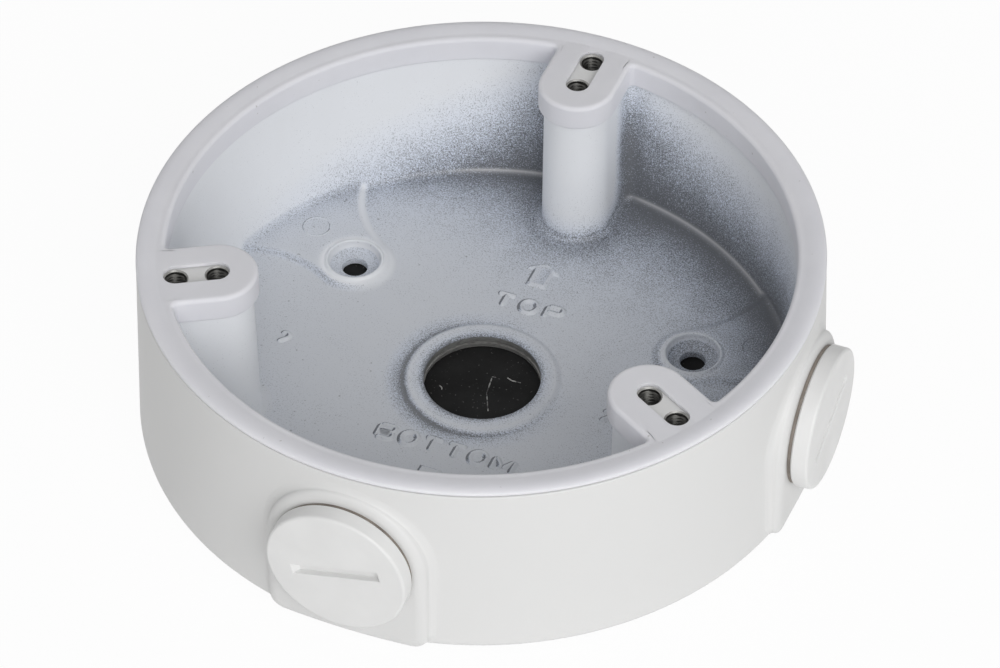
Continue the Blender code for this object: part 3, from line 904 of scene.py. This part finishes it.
def add_stroke(bm, points, ground, half=STROKE_WIDTH / 2, raised=MARK_RAISE):
    """A softly raised stroke along plan points, with rounded ends, on a ground height."""
    length = sum(math.dist(a, b) for a, b in zip(points, points[1:]))
    rings = []
    gone = 0.0
    for i, (x, y) in enumerate(points):
        before = points[max(i - 1, 0)]
        after = points[min(i + 1, len(points) - 1)]
        gone += math.dist(before, (x, y))
        along = math.dist(before, after)
        nx, ny = (before[1] - after[1]) / along, (after[0] - before[0]) / along
        to_end = min(gone, length - gone) / half
        size = math.sqrt(max(1.0 - (1.0 - min(to_end, 1.0)) ** 2, 0.02))
        ring = []
        for n in range(13):
            a = 1.0 - n / 6
            b = math.cos(math.pi / 2 * a) ** 1.5 if abs(a) < 0.99 else 0.0
            ring.append((x + nx * a * half * size, y + ny * a * half * size, ground + raised * size * b))
        ring.append((x - nx * half * size, y - ny * half * size, ground - 0.1))
        ring.append((x + nx * half * size, y + ny * half * size, ground - 0.1))
        rings.append(ring)
    add_rings(bm, rings)


def dense(corners, step=0.12):
    """Points at even short steps along a chain of corners."""
    points = [corners[0]]
    for a, b in zip(corners, corners[1:]):
        points += straight(a, b, max(round(math.dist(a, b) / step), 2))
        points.append(b)
    return points


def letter_strokes(letter):
    """Strokes of a plain letter in a box of LETTER_WIDTH by LETTER_HEIGHT."""
    w, h = LETTER_WIDTH - STROKE_WIDTH / 2, LETTER_HEIGHT - STROKE_WIDTH / 2
    if letter == "T":
        return [[(-0.3, h), (w + 0.3, h)], [(w / 2, h), (w / 2, 0.0)]]
    if letter == "O":
        oval = [(w / 2 + w / 2 * x, h / 2 + h / 2 * y) for x, y in arc((0.0, 0.0), 1.0, 0.0, 360.0, 40)]
        return [oval + oval[1:4]]
    if letter == "P":
        bowl = arc((w - h / 4, 3 * h / 4), h / 4, 90.0, -90.0, 12)
        return [[(0.0, 0.0), (0.0, h)], [(0.0, h)] + bowl + [(0.0, h / 2)]]
    if letter == "B":
        upper = arc((w - h / 4, 3 * h / 4), h / 4, 90.0, -90.0, 12)
        lower = arc((w - h / 4, h / 4), h / 4, 90.0, -90.0, 12)
        return [[(0.0, 0.0), (0.0, h)], [(0.0, h)] + upper + [(0.0, h / 2)],
                [(0.0, h / 2)] + lower + [(0.0, 0.0)]]
    m = 1.25 * w
    return [[(0.0, 0.0), (0.0, h)], [(0.0, h), (m / 2, h / 4)], [(m / 2, h / 4), (m, h)], [(m, h), (m, 0.0)]]


def add_word(bm, word, start, pitch):
    """Raised letters on the floor, from a lower left corner, one pitch apart."""
    for n, letter in enumerate(word):
        for corners in letter_strokes(letter):
            moved = [(start[0] + STROKE_WIDTH / 3 + n * pitch + x, start[1] + STROKE_WIDTH / 3 + y)
                     for x, y in corners]
            add_stroke(bm, dense(moved), floor_z)


def add_arrow(bm, apex, direction):
    """A low plate in the shape of an arrow, with sloping edges."""
    head = ARROW_HEAD_WIDTH / 2
    shaft = ARROW_SHAFT_WIDTH / 2
    neck = apex - ARROW_HEAD_LENGTH
    tail = apex - ARROW_LENGTH
    rings = []
    for inset, z in ((-0.1, floor_z - 0.1), (0.0, floor_z), (0.25, floor_z + 0.5 * MARK_RAISE),
                     (0.45, floor_z + 0.9 * MARK_RAISE), (0.65, floor_z + MARK_RAISE),
                     (0.9, floor_z + 0.85 * MARK_RAISE)):
        half = [(head - inset, neck + inset), (shaft - inset, neck + inset), (shaft - inset, tail + inset)]
        outline = [(0.0, apex - inset)] + [(-x, y) for x, y in half] + half[::-1]
        ring = []
        for a, b in zip(outline, outline[1:] + outline[:1]):
            ring += [(x, direction * y, z) for x, y in [a] + straight(a, b, 6)]
        rings.append(ring)
    add_rings(bm, rings)


def make_marks(material):
    """Words, arrows, ejector marks and ticks cast on the floor."""
    bm = bmesh.new()
    add_word(bm, "TOP", TOP_WORD_START, TOP_WORD_PITCH)
    add_word(bm, "BOTTOM", BOTTOM_WORD_START, BOTTOM_WORD_PITCH)
    add_arrow(bm, TOP_ARROW_APEX, 1.0)
    add_arrow(bm, BOTTOM_ARROW_APEX, -1.0)
    for x, y in TICK_PLACES:
        hook = arc((x + 0.1, y + 0.6), 0.8, 160.0, -40.0, 16)
        add_stroke(bm, dense(hook + [(x - 0.6, y - 1.3)]), floor_z)
    for x, y in EJECTOR_PLACES:
        ground = floor_z + pad_height(x, y)
        profile = [(EJECTOR_RADIUS + 0.15, ground - 0.05), (EJECTOR_RADIUS, ground + EJECTOR_RAISE),
                   (EJECTOR_RADIUS - 0.2, ground + EJECTOR_RAISE), (EJECTOR_RADIUS - 0.35, ground - 0.05)]
        add_turned(bm, profile, 48, Matrix.Translation((x, y, 0.0)), closed=True)
    return make_object("floor_marks", bm, material)


def make_seal(material):
    """Soft ring over the rim and the columns, with a skirt inside and a fine gap below its edge."""
    edge = SEAL_EDGE_RADIUS
    outer_low_z = seal_bottom_z + SEAL_GAP_HEIGHT
    inner = FIT_GAP + SEAL_SKIRT
    angles = rim_angles(inset_outline(inner))
    drop = (wall_top_z - skirt_low_z) / (wall_top_z - floor_z)
    rings = [ring_at(rim_radius - SEAL_GAP_DEPTH, angles, seal_bottom_z),
             ring_at(rim_radius - SEAL_GAP_DEPTH, angles, outer_low_z),
             ring_at(rim_radius - 0.04, angles, outer_low_z),
             ring_at(rim_radius, angles, outer_low_z + 0.06)]
    for c, s in quarter(10):
        rings.append(ring_at(rim_radius - SEAL_SHOULDER_WIDTH * (1.0 - c), angles,
                             seal_top_z - SEAL_SHOULDER_DROP * (1.0 - s)))
    outer = rim_radius - SEAL_SHOULDER_WIDTH - 0.2
    top_inner = cavity_radius - inner + edge + 0.2
    for i in range(7):
        share = i / 6
        radius = outer + (top_inner + 0.3 - outer) * share
        rings.append(ring_at(radius, angles, seal_top_z - SEAL_DISH * share ** 1.5))
    rings.append(at_height(inset_outline(inner - edge - 0.2), seal_top_z - SEAL_DISH))
    top_inner_z = seal_top_z - SEAL_DISH
    for c, s in quarter(8):
        rings.append(at_height(inset_outline(inner - edge * (1.0 - s)), top_inner_z - edge * (1.0 - c)))
    for share in (0.25, 0.5, 0.75):
        z = top_inner_z - edge + (skirt_low_z + 0.3 - top_inner_z + edge) * share
        rings.append(at_height(inset_outline(inner, drop * share), z))
    for c, s in quarter(4):
        rings.append(at_height(inset_outline(inner - 0.3 * (1.0 - c), drop), skirt_low_z + 0.3 * (1.0 - s)))
    rings.append(at_height(inset_outline(FIT_GAP, drop), skirt_low_z))
    rings.append(at_height(inset_outline(FIT_GAP), seal_bottom_z))
    bm = bmesh.new()
    add_rings(bm, rings, closed=True)
    seal = make_object("rim_seal", bm, material)
    boolean(seal, seal_slot_cutters(), "DIFFERENCE")
    return seal


def seal_slot_cutters():
    """Slots over the tapped holes, a little wider at the top for their rounded edge."""
    bm = bmesh.new()
    for angle in COLUMN_ANGLES:
        rings = []
        levels = [(0.0, seal_bottom_z - 1.0)]
        for c, s in quarter(5):
            levels.append((SEAL_SLOT_EDGE * (1.0 - c), seal_top_z - SEAL_SLOT_EDGE * (1.0 - s)))
        levels.append((SEAL_SLOT_EDGE, seal_top_z + 1.0))
        for grow, z in levels:
            slot = arc((outer_tap_circle, 0.0), SEAL_SLOT_RADIUS + grow, -90.0, 90.0, 24)
            slot += arc((inner_tap_circle, 0.0), SEAL_SLOT_RADIUS + grow, 90.0, 270.0, 24)
            rings.append(at_height(turned(slot, angle), z))
        add_rings(bm, rings)
    return make_object("seal_slot_cutters", bm)


def make_plug(name, degrees, material, rubber):
    """A blanking plug with its thread and coin slot, and the ring under its head."""
    thickness = HEAD_THICKNESSES[name]
    under_head = head_face - thickness
    shank_length = under_head - shank_tip
    edge = HEAD_EDGE_RADIUS
    tip = [(0.5, SHANK_HOLLOW_DEPTH - shank_length), (SHANK_HOLLOW_RADIUS, SHANK_HOLLOW_DEPTH - shank_length),
           (SHANK_HOLLOW_RADIUS, -shank_length), (SHANK_ROOT_RADIUS - 0.2, -shank_length)]
    threaded_length = shank_length - SHANK_TIP_CHAMFER / 2
    turns = thread(SHANK_ROOT_RADIUS, SHANK_RADIUS, PORT_PITCH, threaded_length, PLUG_STEPS)
    head = [(head_radius - edge / 2, 0.0), (head_radius, edge / 2)]
    for c, s in quarter(7):
        head.append((head_radius - edge * (1.0 - c), thickness - edge * (1.0 - s)))
    head.append((0.5, thickness))
    bm = bmesh.new()
    add_rings(bm, turned_rings(tip, PLUG_STEPS) + turns[::-1] + turned_rings(head, PLUG_STEPS))
    plug = make_object(name + "_blanking_plug", bm, material)
    boolean(plug, slot_cutter(SLOT_TILTS[name], thickness), "DIFFERENCE")
    seat = port_frame(degrees) @ Matrix.Translation((0.0, 0.0, under_head))
    plug.data.transform(Matrix.Scale(MM, 4) @ seat @ Matrix.Scale(1.0 / MM, 4))

    bm = bmesh.new()
    middle = ring_radius - ring_section / 2
    bead = arc((middle, ring_middle - under_head), ring_section / 2, 70.0, 350.0, 18)
    lip_low = port_face - under_head + 0.04
    lip = [(ring_radius + 0.1, lip_low), (RING_LIP_RADIUS, lip_low), (RING_LIP_RADIUS, -0.04),
           (ring_radius - 0.4, -0.04)]
    add_turned(bm, bead + lip, PLUG_STEPS, seat, closed=True)
    ring = make_object(name + "_sealing_ring", bm, rubber)
    return plug, ring


def slot_cutter(tilt, face_z):
    """Coin slot with sloping ends in a face at a height, turned by tilt from level."""
    rings = []
    half_length = SLOT_LENGTH / 2
    half_width = SLOT_WIDTH / 2
    for half, side, z in ((half_length - SLOT_END_SLOPE, half_width, face_z - SLOT_DEPTH),
                          (half_length - SLOT_EDGE, half_width, face_z - SLOT_EDGE),
                          (half_length, half_width + SLOT_EDGE, face_z),
                          (half_length, half_width + SLOT_EDGE, face_z + 0.5)):
        corners = [(-half, -side), (half, -side), (half, side), (-half, side)]
        rings.append(at_height(turned(corners, tilt), z))
    bm = bmesh.new()
    add_rings(bm, rings)
    return make_object("slot_cutter", bm)


def make_gasket(material, lint):
    """The foam disc with a few threads of lint on the part that the cable hole shows."""
    bm = bmesh.new()
    top = gasket_high.z
    add_turned(bm, [(gasket_radius - 0.2, 0.0), (gasket_radius, 0.2), (gasket_radius, top - 0.2),
                    (gasket_radius - 0.2, top)], 192)
    disc_faces = len(bm.faces)
    for corners in LINT_THREADS:
        add_stroke(bm, dense(corners), top + 0.05, LINT_WIDTH / 2, LINT_WIDTH / 2)
    gasket = make_object("foam_gasket", bm, material)
    gasket.data.materials.append(lint)
    for face in gasket.data.polygons[disc_faces:]:
        face.material_index = 1
    return gasket


def new_material(name, colour, roughness, metallic=0.0):
    """A material with its shader's own plain values, its shader and its node tree."""
    material = bpy.data.materials.new(name)
    material.use_nodes = True
    shader = material.node_tree.nodes["Principled BSDF"]
    shader.inputs["Base Color"].default_value = (*colour, 1.0)
    shader.inputs["Roughness"].default_value = roughness
    shader.inputs["Metallic"].default_value = metallic
    return material, shader, material.node_tree


def add_attribute(tree, name):
    """A value that is stored on the mesh."""
    node = tree.nodes.new("ShaderNodeAttribute")
    node.attribute_name = name
    return node.outputs["Fac"]


def add_noise(tree, scale, detail=2.0, stretch=(1.0, 1.0, 1.0)):
    """Noise on the object's own coordinates; scale is in cells for each metre."""
    place = tree.nodes.new("ShaderNodeTexCoord")
    mapping = tree.nodes.new("ShaderNodeMapping")
    mapping.inputs["Scale"].default_value = stretch
    noise = tree.nodes.new("ShaderNodeTexNoise")
    noise.inputs["Scale"].default_value = scale
    noise.inputs["Detail"].default_value = detail
    tree.links.new(place.outputs["Object"], mapping.inputs["Vector"])
    tree.links.new(mapping.outputs["Vector"], noise.inputs["Vector"])
    return noise.outputs["Fac"]


def add_range(tree, value, low, high, to_low=0.0, to_high=1.0):
    """The value mapped from one range to another, clamped."""
    node = tree.nodes.new("ShaderNodeMapRange")
    node.inputs["From Min"].default_value = low
    node.inputs["From Max"].default_value = high
    node.inputs["To Min"].default_value = to_low
    node.inputs["To Max"].default_value = to_high
    tree.links.new(value, node.inputs["Value"])
    return node.outputs["Result"]


def add_math(tree, operation, first, second):
    """A plain operation on two values, each a socket or a number."""
    node = tree.nodes.new("ShaderNodeMath")
    node.operation = operation
    for slot_number, value in enumerate((first, second)):
        if isinstance(value, float):
            node.inputs[slot_number].default_value = value
        else:
            tree.links.new(value, node.inputs[slot_number])
    return node.outputs["Value"]


def add_mix(tree, share, first, second, blend="MIX"):
    """A colour mixed from two, each a socket or a plain colour."""
    node = tree.nodes.new("ShaderNodeMix")
    node.data_type = "RGBA"
    node.blend_type = blend
    tree.links.new(share, node.inputs["Factor"])
    for socket, value in ((node.inputs["A"], first), (node.inputs["B"], second)):
        if isinstance(value, tuple):
            socket.default_value = (*value, 1.0)
        else:
            tree.links.new(value, socket)
    return node.outputs["Result"]


def add_tones(tree, value, low, high, first, second):
    """A colour that goes from the first to the second while a value goes from low to high."""
    return add_mix(tree, add_range(tree, value, low, high), first, second)


def add_bump(tree, shader, height, depth, strength):
    """Bump of a depth in millimetres on the shader's normal."""
    node = tree.nodes.new("ShaderNodeBump")
    node.inputs["Strength"].default_value = strength
    node.inputs["Distance"].default_value = depth * MM
    tree.links.new(height, node.inputs["Height"])
    tree.links.new(node.outputs["Normal"], shader.inputs["Normal"])


def powder_material():
    """Warm white powder outside; inside it is cooler, with a lighter copy on the walls as painted light and a
    darker floor, partly painted shade, and thins out to a fine grain on dark metal.
    """
    material, shader, tree = new_material("powder_coat", POWDER_WHITE, 0.5)
    cover = add_attribute(tree, "cover")
    inside = add_attribute(tree, "inside")
    ridge = add_attribute(tree, "ridge")
    grain = add_noise(tree, GRAIN_SCALE, 3.0)
    patches = add_noise(tree, PATCH_SCALE, 3.0)
    spread = add_math(tree, "MULTIPLY", add_math(tree, "SUBTRACT", grain, 0.5), 1.9)
    drift = add_math(tree, "MULTIPLY", add_math(tree, "SUBTRACT", patches, 0.5), 0.3)
    level = add_math(tree, "ADD", cover, add_math(tree, "ADD", spread, drift))
    powder_share = add_range(tree, level, 0.2, 0.8)
    dots = add_range(tree, add_noise(tree, DOT_SCALE, 0.0), 0.8, 0.86, 0.0, 0.5)
    on_floor = add_range(tree, inside, 0.5, 1.0)
    share = add_math(tree, "SUBTRACT", powder_share, add_math(tree, "MULTIPLY", dots, on_floor))
    # Inside, the walls take a lighter copy of the powder as painted light and the floor a darker one, partly
    # painted shade
    inside_lit_and_shaded = add_mix(tree, on_floor, POWDER_COOL_LIT, POWDER_THIN_AND_SHADED)
    white = add_tones(tree, inside, 0.0, 0.5, POWDER_WHITE, inside_lit_and_shaded)
    toned = add_mix(tree, add_range(tree, patches, 0.35, 0.65, 0.0, 0.05), white, POWDER_SHADE)
    thinness = add_range(tree, cover, 0.3, 1.0, 1.0, 0.0)
    veiled = add_mix(tree, thinness, toned, THIN_CAST, "MULTIPLY")
    grained = add_mix(tree, share, THIN_METAL, veiled)
    # Pale line at the wall's foot: paint built up there and a painted highlight
    tree.links.new(add_mix(tree, ridge, grained, FOOT_LINE_BUILD_UP_AND_SHEEN), shader.inputs["Base Color"])
    tree.links.new(add_range(tree, share, 0.0, 1.0, 0.42, 0.5), shader.inputs["Roughness"])
    add_bump(tree, shader, add_noise(tree, ORANGE_PEEL_SCALE, 2.0), 0.03, 0.5)
    return material


def metal_material(name, dark, light, depth, metallic):
    """Machined bare metal with fine turning marks of a depth in millimetres."""
    material, shader, tree = new_material(name, light, 0.4, metallic)
    marks = add_noise(tree, TURNING_SCALE, 3.0, (1.0, 1.0, 9.0))
    tree.links.new(add_tones(tree, marks, 0.3, 0.7, dark, light), shader.inputs["Base Color"])
    tree.links.new(add_range(tree, marks, 0.3, 0.7, 0.35, 0.5), shader.inputs["Roughness"])
    add_bump(tree, shader, marks, depth, 0.4)
    return material


def silicone_material():
    """Satin rubber with a faint cool tint, soft unevenness and a little dust."""
    material, shader, tree = new_material("silicone", SILICONE_WHITE, 0.6)
    shader.inputs["Specular IOR Level"].default_value = 0.3
    shader.inputs["Subsurface Weight"].default_value = 0.5
    shader.inputs["Subsurface Radius"].default_value = (1.0, 1.0, 1.0)
    shader.inputs["Subsurface Scale"].default_value = 1.5 * MM
    clouds = add_noise(tree, SEAL_CLOUD_SCALE, 4.0)
    tone = add_tones(tree, clouds, 0.35, 0.65, SILICONE_WHITE, SILICONE_SHADE)
    dust = add_range(tree, add_noise(tree, SEAL_DUST_SCALE, 0.0), 0.86, 0.9, 0.0, 0.45)
    tree.links.new(add_mix(tree, dust, tone, DUST_ON_SEAL), shader.inputs["Base Color"])
    tree.links.new(add_range(tree, clouds, 0.3, 0.7, 0.55, 0.66), shader.inputs["Roughness"])
    add_bump(tree, shader, add_noise(tree, SEAL_GRAIN_SCALE, 2.0), 0.012, 0.4)
    return material


def plug_material():
    """Fine matte white with a faint moulded unevenness."""
    material, shader, tree = new_material("plug_paint", PLUG_WHITE, 0.42)
    clouds = add_noise(tree, PLUG_CLOUD_SCALE, 4.0)
    tree.links.new(add_tones(tree, clouds, 0.35, 0.65, PLUG_WHITE, PLUG_SHADE), shader.inputs["Base Color"])
    tree.links.new(add_range(tree, clouds, 0.3, 0.7, 0.36, 0.48), shader.inputs["Roughness"])
    add_bump(tree, shader, add_noise(tree, PLUG_GRAIN_SCALE, 2.0), 0.012, 0.4)
    return material


def ring_material():
    """Dull grey-brown rubber with a fine bloom."""
    material, shader, tree = new_material("ring_rubber", RING_TONE, 0.6)
    bloom = add_noise(tree, BLOOM_SCALE, 4.0)
    tree.links.new(add_tones(tree, bloom, 0.3, 0.7, RING_DARK, RING_LIGHT), shader.inputs["Base Color"])
    add_bump(tree, shader, bloom, 0.02, 0.5)
    return material


def foam_material():
    """Black closed-cell foam with fine cells and pale dust."""
    material, shader, tree = new_material("foam_rubber", FOAM_TONE, 0.85)
    shader.inputs["Specular IOR Level"].default_value = 0.2
    cells = add_noise(tree, FOAM_CELL_SCALE, 2.0)
    clouds = add_noise(tree, FOAM_CLOUD_SCALE, 4.0)
    tone = add_tones(tree, clouds, 0.35, 0.7, FOAM_DARK, FOAM_LIGHT)
    dust = add_range(tree, add_noise(tree, FOAM_DUST_SCALE, 1.0), 0.7, 0.78, 0.0, 0.35)
    tree.links.new(add_mix(tree, dust, tone, DUST_ON_FOAM), shader.inputs["Base Color"])
    add_bump(tree, shader, cells, 0.08, 0.6)
    return material


def lint_material():
    """Grey threads of dust, uneven along their length."""
    material, shader, tree = new_material("lint", LINT_TONE, 0.9)
    fibres = add_noise(tree, FIBRE_SCALE, 3.0)
    tree.links.new(add_tones(tree, fibres, 0.4, 0.6, LINT_DARK, LINT_LIGHT), shader.inputs["Base Color"])
    return material


def seen_white(tree):
    """One for rays that look at the backdrop, straight or in gloss or glass, and zero for its light."""
    path = tree.nodes.new("ShaderNodeLightPath")
    gloss = add_math(tree, "MAXIMUM", path.outputs["Is Glossy Ray"], path.outputs["Is Transmission Ray"])
    return add_math(tree, "MAXIMUM", path.outputs["Is Camera Ray"], gloss)


def make_floor():
    """Plain pale floor that shows as nearly white and keeps the soft shadow."""
    bm = bmesh.new()
    bmesh.ops.create_grid(bm, x_segments=1, y_segments=1, size=4000.0)
    floor = make_object("studio_floor", bm)
    material = bpy.data.materials.new("studio_floor")
    material.use_nodes = True
    tree = material.node_tree
    shader = tree.nodes["Principled BSDF"]
    shader.inputs["Base Color"].default_value = (*FLOOR_TONE, 1.0)
    shader.inputs["Roughness"].default_value = 0.9
    glow = tree.nodes.new("ShaderNodeEmission")
    glow.inputs["Color"].default_value = (1.0, 1.0, 1.0, 1.0)
    mix = tree.nodes.new("ShaderNodeMixShader")
    tree.links.new(add_math(tree, "MULTIPLY", seen_white(tree), BACKDROP_SHARE), mix.inputs["Fac"])
    tree.links.new(shader.outputs["BSDF"], mix.inputs[1])
    tree.links.new(glow.outputs["Emission"], mix.inputs[2])
    tree.links.new(mix.outputs["Shader"], tree.nodes["Material Output"].inputs["Surface"])
    floor.data.materials.append(material)


def add_area_light(name, place, power):
    """Square lamp at a place, turned towards the box."""
    light = bpy.data.lights.new(name, "AREA")
    light.size = LIGHT_SIZE
    light.energy = power
    lamp = bpy.data.objects.new(name, light)
    bpy.context.scene.collection.objects.link(lamp)
    lamp.location = place
    lamp.rotation_euler = (Vector(LIGHT_AIM) - Vector(place)).to_track_quat("-Z", "Y").to_euler()


def make_studio():
    """World that looks white and lights softly, two area lights and the floor."""
    scene = bpy.context.scene
    world = bpy.data.worlds.new("studio")
    scene.world = world
    world.use_nodes = True
    tree = world.node_tree
    background = tree.nodes["Background"]
    background.inputs["Color"].default_value = (1.0, 1.0, 1.0, 1.0)
    strength = add_range(tree, seen_white(tree), 0.0, 1.0, WORLD_STRENGTH, 1.0)
    tree.links.new(strength, background.inputs["Strength"])
    add_area_light("key", KEY_PLACE, KEY_POWER)
    add_area_light("fill", FILL_PLACE, FILL_POWER)
    scene.view_settings.view_transform = "Standard"
    make_floor()


def make_camera():
    """The camera that the photograph was taken with, found by fitting the rims and the base."""
    data = bpy.data.cameras.new("camera")
    camera = bpy.data.objects.new("camera", data)
    bpy.context.scene.collection.objects.link(camera)
    camera.location = CAMERA_PLACE
    camera.rotation_euler = [math.radians(angle) for angle in CAMERA_TURN]
    data.sensor_width = CAMERA_SENSOR
    data.lens = CAMERA_LENS
    bpy.context.scene.camera = camera


powder = powder_material()
bare_metal = metal_material("bare_metal", MACHINED_DARK, MACHINED_LIGHT, depth=0.02, metallic=0.4)
thread_metal = metal_material("thread_metal", THREAD_DARK, THREAD_LIGHT, depth=0.003, metallic=0.85)
silicone = silicone_material()
foam = foam_material()
plug_paint = plug_material()
ring_rubber = ring_material()

housing = make_housing(powder, bare_metal, thread_metal)
coat(housing)
shade(housing)
flatten_shading(housing)
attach(housing, "housing")
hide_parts("housing")

marks = make_marks(powder)
# The marks' sides that turn away from the light are darkened as painted shade
coat(marks, shade_side=2.0, paler=0.07)
shade(marks, 60.0)
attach(marks, "housing")

seal = make_seal(silicone)
shade(seal)
flatten_shading(seal)
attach(seal, "housing")
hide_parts("top_seal")

gasket = make_gasket(foam, lint_material())
shade(gasket)
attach(gasket, "housing")
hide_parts("rear_gasket")

for port_name, port_degrees in PORTS.items():
    plug_object, ring_object = make_plug(port_name, port_degrees, plug_paint, ring_rubber)
    shade(plug_object)
    shade(ring_object)
    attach(plug_object, port_name + "_plug")
    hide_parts(port_name + "_plug")
    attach(ring_object, port_name + "_ring")
    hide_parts(port_name + "_plug_ring")

make_studio()
make_camera()

bpy.context.view_layer.update()
